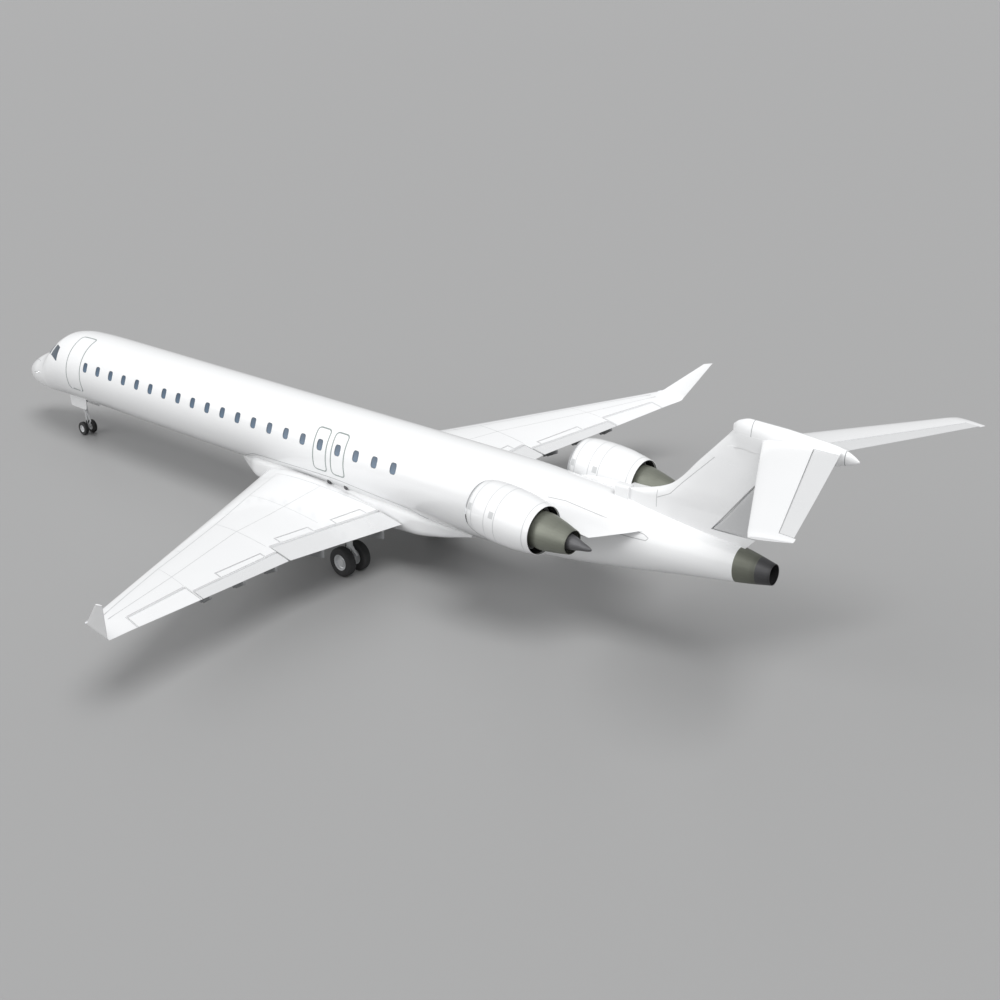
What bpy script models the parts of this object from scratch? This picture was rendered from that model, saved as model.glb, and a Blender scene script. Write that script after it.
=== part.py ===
"""Regional airliner with two rear engines and a T tail, standing on its gear, at full size.

Frame: metres, +Z up, nose towards -Y, left side towards +X. The origin is on the ground,
at the middle of the aircraft's length. The design is laid out as an aircraft builder does:
a station runs aft from the nose tip, a side runs to the left from the plane of symmetry,
and a height runs up from the body's centreline.
"""
import math
from dataclasses import dataclass

import bmesh
import bpy
import numpy as np
from mathutils import Matrix, Quaternion, Vector

LENGTH = 36.594
CENTRE_HEIGHT = 2.95
BODY_RADIUS = 1.325
BODY_FACETS = 32

TOUCH = 0.0003
PANEL_SEAM = 0.003
PANEL_SEAT = 0.0007
PANEL_RIM = 0.002
PANEL_TOOL_TOP = 0.10
CLEAR = 0.008
END_GAP = 0.020
FLAP_GAP = 0.030
LEFT = 1
RIGHT = -1
SIDES = (("left", LEFT), ("right", RIGHT))

# Body sections: station, height of the centre, half width, half height.
BODY = (
    (0.00, -0.82, 0.02, 0.02),
    (0.15, -0.83, 0.27, 0.22),
    (0.60, -0.78, 0.60, 0.47),
    (1.30, -0.665, 0.90, 0.685),
    (1.90, -0.565, 1.07, 0.79),
    (2.35, -0.445, 1.17, 0.905),
    (2.60, -0.315, 1.21, 1.035),
    (2.90, -0.19, 1.25, 1.15),
    (3.40, -0.075, 1.285, 1.26),
    (4.20, -0.02, 1.315, 1.31),
    (5.50, 0.00, BODY_RADIUS, BODY_RADIUS),
    (23.50, 0.00, BODY_RADIUS, BODY_RADIUS),
    (25.50, 0.03, 1.28, 1.29),
    (27.50, 0.10, 1.10, 1.16),
    (29.50, 0.19, 0.86, 0.95),
    (31.50, 0.25, 0.58, 0.65),
    (33.00, 0.27, 0.36, 0.42),
    (33.66, 0.27, 0.24, 0.28),
)

# Body pieces, split where the real panels meet: name, first station, last station, number of rings, finish.
BODY_PIECES = (
    ("nose_section", 0.0, 4.15, 20, "white_paint"),
    ("cabin_front", 4.15, 12.5, 5, "white_paint"),
    ("cabin_centre", 12.5, 24.5, 4, "white_paint"),
    ("cabin_rear", 24.5, 32.70, 9, "white_paint"),
    ("tail_cone", 32.70, 33.28, 3, "bare_metal"),
)
EXHAUST_START = 33.28
EXHAUST_END = 33.66
EXHAUST_WALL = 0.05
EXHAUST_DEPTH = 0.30

# Windscreen band: angle up from the horizontal on the left side, front station, back station.
WINDSCREEN = (
    (18.5, 3.48, 3.66),
    (30.0, 2.96, 3.63),
    (40.0, 2.74, 3.61),
    (50.0, 2.57, 3.40),
    (62.0, 2.36, 3.06),
    (76.0, 2.18, 2.86),
    (90.0, 2.10, 2.80),
)
WINDSCREEN_DEPTH = 0.045
WINDSCREEN_SPANS = 4
WINDSCREEN_SEAT = 0.0018

# Belly fairing: station, height where it leaves the body, height of its bottom, half width.
FAIRING_HALF = 1.13
FAIRING = (
    (13.57, -1.18, -1.34, 0.50),
    (14.30, -0.98, -1.52, 0.84),
    (15.10, -0.72, -1.66, FAIRING_HALF),
    (17.00, -0.66, -1.75, FAIRING_HALF),
    (20.50, -0.66, -1.75, FAIRING_HALF),
    (22.10, -0.72, -1.68, FAIRING_HALF),
    (23.00, -0.92, -1.56, 0.92),
    (24.03, -1.20, -1.36, 0.48),
)
FAIRING_CORNER = 0.30

# Wing of the left side: side, leading-edge station and height, trailing-edge station and height, thickness ratio.
WING_ROOT = FAIRING_HALF + TOUCH
WING = (
    (WING_ROOT, 15.575, -1.225, 21.840, -1.285, 0.125),
    (3.300, 16.865, -1.040, 21.836, -1.120, 0.118),
    (5.492, 18.168, -0.852, 21.832, -0.958, 0.110),
    (8.600, 20.016, -0.587, 22.324, -0.727, 0.104),
    (11.050, 21.473, -0.378, 22.727, -0.525, 0.100),
    (11.848, 21.950, -0.308, 22.893, -0.452, 0.098),
)
# Winglet sections of the left side: share of the way up, cant in degrees.
WINGLET_FOOT = ((22.000, 11.870, -0.300), (22.893, 11.890, -0.440))
WINGLET_HEAD = ((23.413, 12.386, 0.868), (23.754, 12.423, 0.956))
WINGLET = ((0.07, 35.0), (0.20, 58.0), (0.60, 65.0), (1.00, 65.0))
WINGLET_THICKNESS = 0.085
WING_CAMBER = 0.012
AIRFOIL_SHARES = (0.0, 0.012, 0.05, 0.13, 0.27, 0.45, 0.66, 1.0)
TRAILING_EDGE = 0.008

BAY_RADIUS = 0.52
BAY_TOP = -1.08
BAY_SIDE = 0.56
MAIN_GEAR_STATION = 20.45
MAIN_GEAR_SIDE = 2.035
MAIN_AXLE = 0.457 - CENTRE_HEIGHT
LEG_ROOF = -1.25
BRACE_SIDE = 1.52
MAIN_TYRE_RADIUS = 0.457
MAIN_TYRE_WIDTH = 0.305
MAIN_TYRE_OFFSET = 0.30
NOSE_GEAR_STATION = 3.20
NOSE_TYRE_RADIUS = 0.26
NOSE_TYRE_WIDTH = 0.17
NOSE_TYRE_OFFSET = 0.185
NOSE_AXLE = NOSE_TYRE_RADIUS - CENTRE_HEIGHT
NOSE_BAY = ((2.55, -0.30, -1.80), (3.95, 0.30, -0.75))

FIN = (
    # height, leading-edge station, trailing-edge station, thickness
    (0.60, 29.20, 32.70, 0.26),
    (1.45, 29.24, 33.47, 0.27),
    (1.73, 30.20, 33.69, 0.28),
    (1.95, 30.62, 33.86, 0.29),
    (2.75, 31.37, 34.47, 0.26),
    (3.60, 32.16, 35.13, 0.22),
)
RUDDER_FOOT = 1.05
RUDDER_HEAD = 3.30
RUDDER_CHORD = 1.15
RUDDER_END_GAP = 0.034

BULLET = (
    (32.28, 3.80, 0.03, 0.10),
    (32.42, 3.76, 0.12, 0.25),
    (32.74, 3.73, 0.17, 0.37),
    (33.60, 3.71, 0.19, 0.36),
    (34.50, 3.70, 0.17, 0.30),
    (35.00, 3.70, 0.13, 0.25),
    (35.28, 3.705, 0.09, 0.18),
    (35.50, 3.69, 0.05, 0.09),
    (35.61, 3.68, 0.012, 0.02),
)

# Tailplane of the left side: side, leading-edge station and height, trailing-edge station, side and height.
TAILPLANE = (
    (0.00, 33.08, 3.672, 35.150, 0.00, 3.838, 0.095),
    (0.18, 33.18, 3.665, 35.209, 0.18, 3.825, 0.095),
    (2.50, 34.41, 3.590, 35.920, 2.40, 3.686, 0.095),
    (4.70, 35.58, 3.518, 36.580, 4.56, 3.556, 0.090),
    (4.89, 35.70, 3.510, 36.594, 4.64, 3.550, 0.060),
)

ENGINE_FRONT = (25.97, 2.147, 0.773)
ENGINE_REAR = (28.16, 2.197, 0.640)
ENGINE_FACETS = 24
# Nacelle wall, outer side from the nozzle to the lip, then inner side back: distance aft of the lip, radius.
NACELLE = (
    (2.19, 0.668),
    (1.85, 0.728),
    (1.40, 0.785),
    (0.90, 0.800),
    (0.45, 0.782),
    (0.15, 0.733),
    (0.03, 0.690),
    (0.00, 0.658),
    (0.02, 0.625),
    (0.12, 0.590),
    (0.35, 0.580),
    (0.60, 0.598),
    (0.88, 0.600),
    (1.10, 0.630),
    (1.45, 0.630),
    (2.19, 0.655),
)
DUCT_RADIUS = 0.630
CORE = (
    (2.98, 0.000),
    (2.98, 0.285),
    (3.15, 0.305),
    (3.15, 0.326),
    (2.70, 0.430),
    (2.25, 0.500),
    (1.60, 0.490),
    (1.20, 0.400),
    (0.95, 0.250),
    (0.90, 0.220),
    (0.90, 0.000),
)
PLUG = (
    (3.78, 0.000),
    (3.76, 0.030),
    (3.45, 0.120),
    (3.15, 0.195),
    (2.98 + TOUCH, 0.215),
    (2.98 + TOUCH, 0.000),
)
FAN_HUB = (
    (0.90 - TOUCH, 0.000),
    (0.90 - TOUCH, 0.060),
    (0.88, 0.060),
    (0.88, 0.210),
    (0.66, 0.195),
    (0.50, 0.120),
    (0.40, 0.040),
    (0.38, 0.000),
)
FAN_BLADES = 18
FAN_BLADE_TIP = 0.575
FAN_BLADE_ROOT = 0.170
GUIDE_VANES = 6

FINISHES = {
    "white_paint": ((0.80, 0.81, 0.82), 0.28, 0.0),
    "grey_paint": ((0.52, 0.54, 0.56), 0.40, 0.0),
    "dark_grey": ((0.16, 0.17, 0.18), 0.45, 0.0),
    "bare_metal": ((0.50, 0.52, 0.49), 0.35, 0.9),
    "bright_metal": ((0.82, 0.83, 0.85), 0.18, 1.0),
    "cowl_metal": ((0.42, 0.45, 0.42), 0.38, 0.8),
    "dark_metal": ((0.10, 0.10, 0.11), 0.40, 0.8),
    "glass": ((0.10, 0.14, 0.19), 0.08, 0.0),
    "gear_paint": ((0.70, 0.71, 0.72), 0.35, 0.1),
    "rubber": ((0.03, 0.03, 0.03), 0.80, 0.0),
}


def clear_scene() -> None:
    """Remove every object that the scene starts with."""
    for item in list(bpy.data.objects):
        bpy.data.objects.remove(item, do_unlink=True)


def new_collection(name: str) -> bpy.types.Collection:
    """Make a collection in the scene."""
    group = bpy.data.collections.new(name)
    bpy.context.scene.collection.children.link(group)
    return group


clear_scene()
AIRLINER = new_collection("airliner")
CUTTERS = new_collection("cutters")


def finish_material(name: str, finish: str) -> bpy.types.Material:
    """Make a piece's own material from the table of finishes."""
    colour, roughness, metallic = FINISHES[finish]
    material = bpy.data.materials.new(name)
    material.use_nodes = True
    shader = material.node_tree.nodes["Principled BSDF"]
    shader.inputs["Base Color"].default_value = (*colour, 1.0)
    shader.inputs["Roughness"].default_value = roughness
    shader.inputs["Metallic"].default_value = metallic
    return material


def add_piece(name: str, mesh: bpy.types.Mesh, finish: str) -> bpy.types.Object:
    """Add a piece of the aircraft with its own material."""
    piece = bpy.data.objects.new(name, mesh.copy())
    piece.data.name = name
    piece.data.materials.append(finish_material(name, finish))
    AIRLINER.objects.link(piece)
    return piece


def add_cutter(mesh: bpy.types.Mesh) -> bpy.types.Object:
    """Add a tool shape that the build leaves out."""
    tool = bpy.data.objects.new("cutter", mesh)
    tool.hide_render = True
    tool.display_type = "WIRE"
    CUTTERS.objects.link(tool)
    return tool


def combine(piece: bpy.types.Object, tool: bpy.types.Object, operation: str) -> None:
    """Cut or join a piece with a tool shape."""
    step = piece.modifiers.new(operation.lower(), "BOOLEAN")
    step.object = tool
    step.operation = operation
    step.solver = "EXACT"


def spot(station: float, side: float, height: float) -> Vector:
    """Turn a station, a side and a height into the part's frame."""
    return Vector((side, station - LENGTH / 2, height + CENTRE_HEIGHT))


def hang_on(piece: bpy.types.Object, point: Vector) -> None:
    """Put a moving piece's origin on its hinge line, with its shape left where it is."""
    piece.data.transform(Matrix.Translation(-point))
    piece.location = point


def ring_mesh(rings: list[list[Vector]]) -> bpy.types.Mesh:
    """Skin a row of rings that all have the same number of points, with a flat cap on each end."""
    shape = bmesh.new()
    rows = [[shape.verts.new(point) for point in ring] for ring in rings]
    count = len(rows[0])
    for near, far in zip(rows, rows[1:]):
        for index in range(count):
            following = (index + 1) % count
            shape.faces.new((near[index], near[following], far[following]))
            shape.faces.new((near[index], far[following], far[index]))
    shape.faces.new(rows[0])
    shape.faces.new(rows[-1])
    bmesh.ops.recalc_face_normals(shape, faces=shape.faces)
    mesh = bpy.data.meshes.new("loft")
    shape.to_mesh(mesh)
    shape.free()
    return mesh


def box_mesh(low: tuple, high: tuple) -> bpy.types.Mesh:
    """Make a box between two corners, each given as station, side and height."""
    near, far = spot(*low), spot(*high)
    size = far - near
    shape = bmesh.new()
    bmesh.ops.create_cube(shape, size=1.0)
    scale = Matrix.Diagonal((abs(size.x), abs(size.y), abs(size.z), 1.0))
    bmesh.ops.transform(shape, matrix=Matrix.Translation((near + far) / 2) @ scale, verts=shape.verts)
    mesh = bpy.data.meshes.new("box")
    shape.to_mesh(mesh)
    shape.free()
    return mesh


def rod_mesh(start: Vector, end: Vector, radius: float, end_radius: float = 0.0, facets: int = 20) -> bpy.types.Mesh:
    """Make a round rod, or a cone where the end radius differs, between two points."""
    along = end - start
    turn = along.to_track_quat("Z", "Y").to_matrix().to_4x4()
    shape = bmesh.new()
    bmesh.ops.create_cone(
        shape,
        cap_ends=True,
        segments=facets,
        radius1=radius,
        radius2=end_radius or radius,
        depth=along.length,
    )
    bmesh.ops.transform(shape, matrix=Matrix.Translation((start + end) / 2) @ turn, verts=shape.verts)
    mesh = bpy.data.meshes.new("rod")
    shape.to_mesh(mesh)
    shape.free()
    return mesh


def profile_mesh(profile: list[tuple], closed: bool) -> bpy.types.Mesh:
    """Make the outline that a Screw modifier turns: distance along the axis, radius."""
    points = [(radius, 0.0, along) for along, radius in profile]
    edges = [(index, index + 1) for index in range(len(points) - 1)]
    if closed:
        edges.append((len(points) - 1, 0))
    mesh = bpy.data.meshes.new("profile")
    mesh.from_pydata(points, edges, [])
    return mesh


def turn_on_axis(item: bpy.types.Object, start: Vector, direction: Vector, facets: int) -> None:
    """Stand an outline on an axis and turn it round with a Screw modifier."""
    item.location = start
    item.rotation_mode = "QUATERNION"
    item.rotation_quaternion = direction.to_track_quat("Z", "Y")
    screw = item.modifiers.new("turned", "SCREW")
    screw.axis = "Z"
    screw.angle = math.tau
    screw.steps = facets
    screw.render_steps = facets
    screw.use_merge_vertices = True
    screw.merge_threshold = 0.0001
    screw.use_normal_calculate = False


def read_table(table: tuple, station: float) -> tuple:
    """Read the columns of a table at a station, with a cubic that keeps each column's rises and falls."""
    rows = np.array(table)
    stations = rows[:, 0]
    steps = np.diff(stations)
    index = int(np.clip(np.searchsorted(stations, station) - 1, 0, len(steps) - 1))
    share = (station - stations[index]) / steps[index]
    values = []
    for column in rows[:, 1:].T:
        slopes = np.diff(column) / steps
        tangents = np.zeros(len(column))
        tangents[0], tangents[-1] = slopes[0], slopes[-1]
        for place in range(1, len(slopes)):
            before, after = slopes[place - 1], slopes[place]
            if before * after > 0:
                tangents[place] = 2 * before * after / (before + after)
        rise = column[index + 1] - column[index]
        start = tangents[index] * steps[index]
        finish = tangents[index + 1] * steps[index]
        bend = share * (1 - share) * ((1 - share) * (start - rise) + share * (rise - finish))
        values.append(float(column[index] + rise * share + bend))
    return tuple(values)


def body_point(station: float, degrees: float, outwards: float = 0.0) -> Vector:
    """Find a point on the body's skin, at an angle up from the left side's horizontal."""
    centre, half_width, half_height = read_table(BODY, station)
    angle = math.radians(degrees)
    side = (half_width + outwards) * math.cos(angle)
    height = centre + (half_height + outwards) * math.sin(angle)
    return spot(station, side, height)


def body_ring(station: float, outwards: float = 0.0) -> list[Vector]:
    """Find the ring of the body's skin at a station."""
    step = 360.0 / BODY_FACETS
    return [body_point(station, index * step, outwards) for index in range(BODY_FACETS)]


def piece_stations(first: float, last: float, count: int) -> list[float]:
    """Space the rings of a body piece, closer together towards the nose tip."""
    shares = np.linspace(0.0, 1.0, count)
    if first == 0.0:
        shares = shares ** 1.6
    return [first + (last - first) * float(share) for share in shares]


def make_body() -> dict:
    """Make the body's sections, each ending just short of the next."""
    pieces = {}
    for name, first, last, count, finish in BODY_PIECES:
        stations = piece_stations(first, last - TOUCH, count)
        rings = [body_ring(station) for station in stations]
        pieces[name] = add_piece(name, ring_mesh(rings), finish)
    stations = (EXHAUST_START, EXHAUST_END)
    pipe = add_piece("exhaust_pipe", ring_mesh([body_ring(station) for station in stations]), "dark_metal")
    bore_rings = [body_ring(EXHAUST_END - EXHAUST_DEPTH, -EXHAUST_WALL), body_ring(EXHAUST_END, -EXHAUST_WALL)]
    bore_rings.append([point + Vector((0.0, 0.1, 0.0)) for point in bore_rings[-1]])
    combine(pipe, add_cutter(ring_mesh(bore_rings)), "DIFFERENCE")
    pieces["exhaust_pipe"] = pipe
    return pieces


def panel_rings(edges: list[tuple], levels: tuple, grow: float, spans: int) -> list[list[Vector]]:
    """Find the rings of a panel let into the body, from rows of angle, front station and back station.

    levels are the heights of the panel's edge above the skin, from its floor up, and spans is the number
    of straight steps from front to back in its face and its floor.
    """
    rings = []
    last = len(edges) - 1
    for index, (degrees, front, back) in enumerate(edges):
        reach = math.degrees(grow / BODY_RADIUS)
        degrees += reach * (index == last) - reach * (index == 0)
        front -= grow
        back += grow
        between = [front + (back - front) * step / spans for step in range(1, spans)]
        ring = [body_point(front, degrees, level) for level in levels]
        ring += [body_point(station, degrees, levels[-1]) for station in between]
        ring += [body_point(back, degrees, level) for level in reversed(levels)]
        ring += [body_point(station, degrees, levels[0]) for station in reversed(between)]
        rings.append(ring)
    return rings


def panel_edges(front: float, back: float, low: float, high: float, corner: float) -> list[tuple]:
    """Lay out a panel with rounded corners: rows of angle, front station, back station."""
    reach = math.degrees(corner / BODY_RADIUS)
    rows = []
    for share in (0.0, 0.3, 1.0):
        inset = corner * (1 - math.sqrt(1 - (1 - share) ** 2))
        rows.append((low + reach * share, front + inset, back - inset))
    middle = [low + (high - low) * share for share in (0.25, 0.5, 0.75)]
    rows += [(degrees, front, back) for degrees in middle]
    for share in (1.0, 0.3, 0.0):
        inset = corner * (1 - math.sqrt(1 - (1 - share) ** 2))
        rows.append((high - reach * share, front + inset, back - inset))
    return rows


@dataclass(frozen=True)
class Door:
    """A door or hatch in the body: its name, stations, angles from the left horizontal, depth and edge gap."""

    name: str
    front: float
    back: float
    low: float
    high: float
    depth: float
    gap: float


PASSENGER_DOOR = Door("passenger_door", 4.42, 5.25, -22.0, 72.0, 0.10, CLEAR)
SERVICE_DOOR = Door("service_door", 4.62, 5.23, 145.0, 202.0, 0.08, PANEL_SEAM)
DOOR_CORNER = 0.12
DOOR_HINGE_RADIUS = 0.028
DOOR_HINGE_PLACES = (4.56, 5.11)
DOOR_HINGE_MOVING = 0.08
DOOR_HINGE_FIXED = 0.05


def let_in(body: bpy.types.Object, name: str, edges: list[tuple], depth: float, gap: float, spans: int = 1):
    """Cut a recess in the body and fill it with a panel that is smaller all round by the gap."""
    behind = gap
    if gap == PANEL_SEAM:
        behind = PANEL_SEAT if spans == 1 else WINDSCREEN_SEAT
    levels = (-depth - behind, PANEL_RIM, PANEL_TOOL_TOP)
    combine(body, add_cutter(ring_mesh(panel_rings(edges, levels, gap, spans))), "DIFFERENCE")
    finish = "white_paint" if spans == 1 else "glass"
    return add_piece(name, ring_mesh(panel_rings(edges, (-depth, 0.0), 0.0, spans)), finish)


def make_doors(cabin: bpy.types.Object) -> None:
    """Let the two front doors into the front cabin section and hinge the passenger door at its sill."""
    made = {}
    for door in (PASSENGER_DOOR, SERVICE_DOOR):
        edges = panel_edges(door.front, door.back, door.low, door.high, DOOR_CORNER)
        made[door.name] = let_in(cabin, door.name, edges, door.depth, door.gap)
    door = made[PASSENGER_DOOR.name]
    hang_on(door, door_hinge_point(PASSENGER_DOOR.front))
    for place in DOOR_HINGE_PLACES:
        start = door_hinge_point(place)
        step = Vector((0.0, 1.0, 0.0))
        moving_end = start + step * DOOR_HINGE_MOVING
        fixed_start = moving_end + step * TOUCH
        fixed_end = fixed_start + step * DOOR_HINGE_FIXED
        room = rod_mesh(start - step * CLEAR, fixed_start, DOOR_HINGE_RADIUS + CLEAR)
        combine(cabin, add_cutter(room), "DIFFERENCE")
        room = rod_mesh(moving_end, fixed_end + step * CLEAR, DOOR_HINGE_RADIUS + CLEAR)
        combine(door, add_cutter(room), "DIFFERENCE")
        combine(door, add_cutter(rod_mesh(start, moving_end, DOOR_HINGE_RADIUS)), "UNION")
        combine(cabin, add_cutter(rod_mesh(fixed_start, fixed_end, DOOR_HINGE_RADIUS)), "UNION")


def door_hinge_point(station: float) -> Vector:
    """Find the passenger door's hinge line, straight along the sill in the gap below the door."""
    return body_point(5.0, PASSENGER_DOOR.low - 0.3, -0.004) + Vector((0.0, station - 5.0, 0.0))


def make_windscreen(nose: bpy.types.Object) -> None:
    """Let the band of cockpit glass into the nose, from the left side window over to the right one."""
    left = list(WINDSCREEN)
    right = [(180.0 - degrees, front, back) for degrees, front, back in reversed(WINDSCREEN[:-1])]
    let_in(nose, "windscreen", left + right, WINDSCREEN_DEPTH, PANEL_SEAM, WINDSCREEN_SPANS)


def fairing_ring(station: float, top: float, bottom: float, half: float) -> list[Vector]:
    """Find a ring of the belly fairing: up its flat sides and round its bottom corners."""
    corner = min(FAIRING_CORNER, (top - bottom) * 0.8, half * 0.8)
    points = [spot(station, 0.0, 0.0), spot(station, half, top + 0.20)]
    points.append(spot(station, half, top))
    for share in (0.0, 0.25, 0.5, 0.75, 1.0):
        angle = math.radians(90.0 * share)
        side = half - corner + corner * math.cos(angle)
        height = bottom + corner - corner * math.sin(angle)
        points.append(spot(station, side, height))
    mirrored = [Vector((-point.x, point.y, point.z)) for point in reversed(points[1:])]
    return points + mirrored


def make_fairing() -> bpy.types.Object:
    """Make the belly fairing round the wing roots, with the two open main-wheel bays."""
    fairing = add_piece("belly_fairing", ring_mesh([fairing_ring(*row) for row in FAIRING]), "white_paint")
    body_stations = (FAIRING[0][0] - 0.5, FAIRING[-1][0] + 0.5)
    body_tool = ring_mesh([body_ring(station, TOUCH) for station in (body_stations[0], 23.50, body_stations[1])])
    combine(fairing, add_cutter(body_tool), "DIFFERENCE")
    for _, sign in SIDES:
        low = spot(MAIN_GEAR_STATION, sign * BAY_SIDE, -2.0)
        high = spot(MAIN_GEAR_STATION, sign * BAY_SIDE, BAY_TOP)
        bay = rod_mesh(low, high, BAY_RADIUS, facets=24)
        combine(fairing, add_cutter(bay), "DIFFERENCE")
    return fairing


def section_shape(share: float) -> float:
    """Find a section's half thickness at a share of its chord, per unit of chord and of thickness ratio."""
    curve = 0.2969 * math.sqrt(share) - 0.1260 * share - 0.3516 * share ** 2
    return 5 * (curve + 0.2843 * share ** 3 - 0.1036 * share ** 4)


def half_thickness(ratio: float, chord: float, share: float) -> float:
    """Find a section's half thickness at a share of its chord, along the straight facets of its skin."""
    halves = [section_shape(place) * ratio * chord for place in AIRFOIL_SHARES]
    halves[-1] = TRAILING_EDGE / 2
    return float(np.interp(share, AIRFOIL_SHARES, halves))


def camber_rise(camber: float, chord: float, share: float) -> float:
    """Find how far a section's middle line lies above its chord, along the same straight facets."""
    rises = [4 * camber * chord * place * (1 - place) for place in AIRFOIL_SHARES]
    return float(np.interp(share, AIRFOIL_SHARES, rises))


def airfoil(lead: Vector, trail: Vector, thickness: float, up: Vector, camber: float = 0.0) -> list[Vector]:
    """Draw a wing section as a ring: back along its top, forward along its bottom."""
    chord = (trail - lead).length
    top = []
    bottom = []
    for share in AIRFOIL_SHARES:
        half = half_thickness(thickness, chord, share)
        middle = lead.lerp(trail, share) + up * camber_rise(camber, chord, share)
        top.append(middle + up * half)
        bottom.append(middle - up * half)
    return top + bottom[:0:-1]


def tilted_up(degrees: float, sign: int) -> Vector:
    """Find the direction across a wing section whose span rises at an angle."""
    angle = math.radians(degrees)
    return Vector((-sign * math.sin(angle), 0.0, math.cos(angle)))


def wing_edges(side: float) -> tuple:
    """Read the wing's edges at a side, along straight lines between its sections."""
    rows = np.array(WING)
    return tuple(float(np.interp(side, rows[:, 0], rows[:, column])) for column in range(1, 6))


def wing_rings(sign: int) -> list[list[Vector]]:
    """Find the sections of one wing, from its root to its winglet's head."""
    rings = []
    for side, lead_s, lead_z, trail_s, trail_z, ratio in WING:
        lead = spot(lead_s, sign * side, lead_z)
        trail = spot(trail_s, sign * side, trail_z)
        rings.append(airfoil(lead, trail, ratio, Vector((0.0, 0.0, 1.0)), WING_CAMBER))
    foot = [spot(s, sign * y, z) for s, y, z in WINGLET_FOOT]
    head = [spot(s, sign * y, z) for s, y, z in WINGLET_HEAD]
    for share, cant in WINGLET:
        lead = foot[0].lerp(head[0], share)
        trail = foot[1].lerp(head[1], share)
        rings.append(airfoil(lead, trail, WINGLET_THICKNESS, tilted_up(cant, sign)))
    return rings


def wing_half_thickness(side: float, station: float) -> tuple:
    """Find the height of the wing's middle line and its half thickness at a station."""
    lead_s, lead_z, trail_s, trail_z, ratio = wing_edges(side)
    chord = trail_s - lead_s
    share = (station - lead_s) / chord
    middle = lead_z + (trail_z - lead_z) * share + camber_rise(WING_CAMBER, chord, share)
    return middle, half_thickness(ratio, chord, share)


@dataclass(frozen=True)
class Surface:
    """A hinged surface along the wing: its ends and the stations of the wing's edge in front of it."""

    name: str
    inner: float
    outer: float
    inner_edge: float
    outer_edge: float
    inner_drop: float
    outer_drop: float

    def edge(self, side: float) -> float:
        """Read the station of the wing's edge in front of the surface."""
        share = (side - self.inner) / (self.outer - self.inner)
        return self.inner_edge + (self.outer_edge - self.inner_edge) * share

    def drop(self, side: float) -> float:
        """Read how far the hinge line lies below the surface's middle."""
        share = (side - self.inner) / (self.outer - self.inner)
        return self.inner_drop + (self.outer_drop - self.inner_drop) * share


SURFACES = (
    Surface("flap_inboard", 1.17, 5.43, 20.825, 20.950, 0.42, 0.34),
    Surface("flap_outboard", 5.50, 8.74, 21.286, 21.942, 0.32, 0.28),
    Surface("aileron", 8.84, 10.91, 21.68, 22.24, 0.0, 0.0),
)


def nose_of(surface: Surface, side: float) -> tuple:
    """Find the station, height and radius of a surface's round nose."""
    station = surface.edge(side) + CLEAR
    radius = wing_half_thickness(side, station)[1]
    for _ in range(3):
        radius = wing_half_thickness(side, station + radius)[1]
    middle = wing_half_thickness(side, station + radius)[0]
    return station + radius, middle, radius


def hinge_line(surface: Surface, sign: int) -> tuple:
    """Find two points of a surface's hinge line, at its inner and outer ends."""
    points = []
    for side in (surface.inner, surface.outer):
        station, middle, _ = nose_of(surface, side)
        points.append(spot(station, sign * side, middle - surface.drop(side)))
    return tuple(points)


def surface_ring(surface: Surface, side: float, sign: int) -> list[Vector]:
    """Draw a section of a hinged surface: a round nose, then the wing's own lines to the trailing edge."""
    station, middle, radius = nose_of(surface, side)
    _, _, trail_s, trail_z, _ = wing_edges(side)
    points = []
    for degrees in (90.0, 120.0, 150.0, 180.0, 210.0, 240.0, 270.0):
        angle = math.radians(degrees)
        reach = station + radius * math.cos(angle)
        points.append(spot(reach, sign * side, middle + radius * math.sin(angle)))
    half_way = (station + trail_s) / 2
    centre, half = wing_half_thickness(side, half_way)
    points.append(spot(half_way, sign * side, centre - half))
    points.append(spot(trail_s, sign * side, trail_z - TRAILING_EDGE / 2))
    points.append(spot(trail_s, sign * side, trail_z + TRAILING_EDGE / 2))
    points.append(spot(half_way, sign * side, centre + half))
    return points


def prism(sides: tuple, edges: tuple, back: float, low: float, high: float, sign: int) -> bpy.types.Mesh:
    """Make an upright tool shape behind a swept line, between two sides."""
    rings = []
    for side, edge in zip(sides, edges):
        corners = ((edge, low), (edge, high), (back, high), (back, low))
        rings.append([spot(station, sign * side, height) for station, height in corners])
    return ring_mesh(rings)


def add_pins(piece: bpy.types.Object, start: Vector, end: Vector, radius: float, gap: float) -> None:
    """Give a surface a hinge pin at each end that reaches just short of the wall beyond the end gap."""
    for near, far in ((start, end), (end, start)):
        along = (near - far).normalized()
        level = abs(along.x)
        lean = math.sqrt(max(0.0, 1 - level ** 2))
        reach = (gap - radius * lean - TOUCH) / level
        combine(piece, add_cutter(rod_mesh(near - along * 0.06, near + along * reach, radius, facets=12)), "UNION")


TRACKS = {
    # sides of the dark hinge fairings under each flap, their depth at the trailing edge, and how far they reach
    # ahead of the flap
    "flap_inboard": ((1.95, 0.27, 0.18), (4.27, 0.24, 0.75)),
    "flap_outboard": ((6.03, 0.14, 0.75), (7.27, 0.12, 0.75), (8.50, 0.105, 0.75)),
}
TRACK_HALF = 0.045
TRACK_BARREL = 0.05
TRACK_MOVING = 0.12
TRACK_FIXED = 0.05
TRACK_OVERHANG = 0.02


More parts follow.
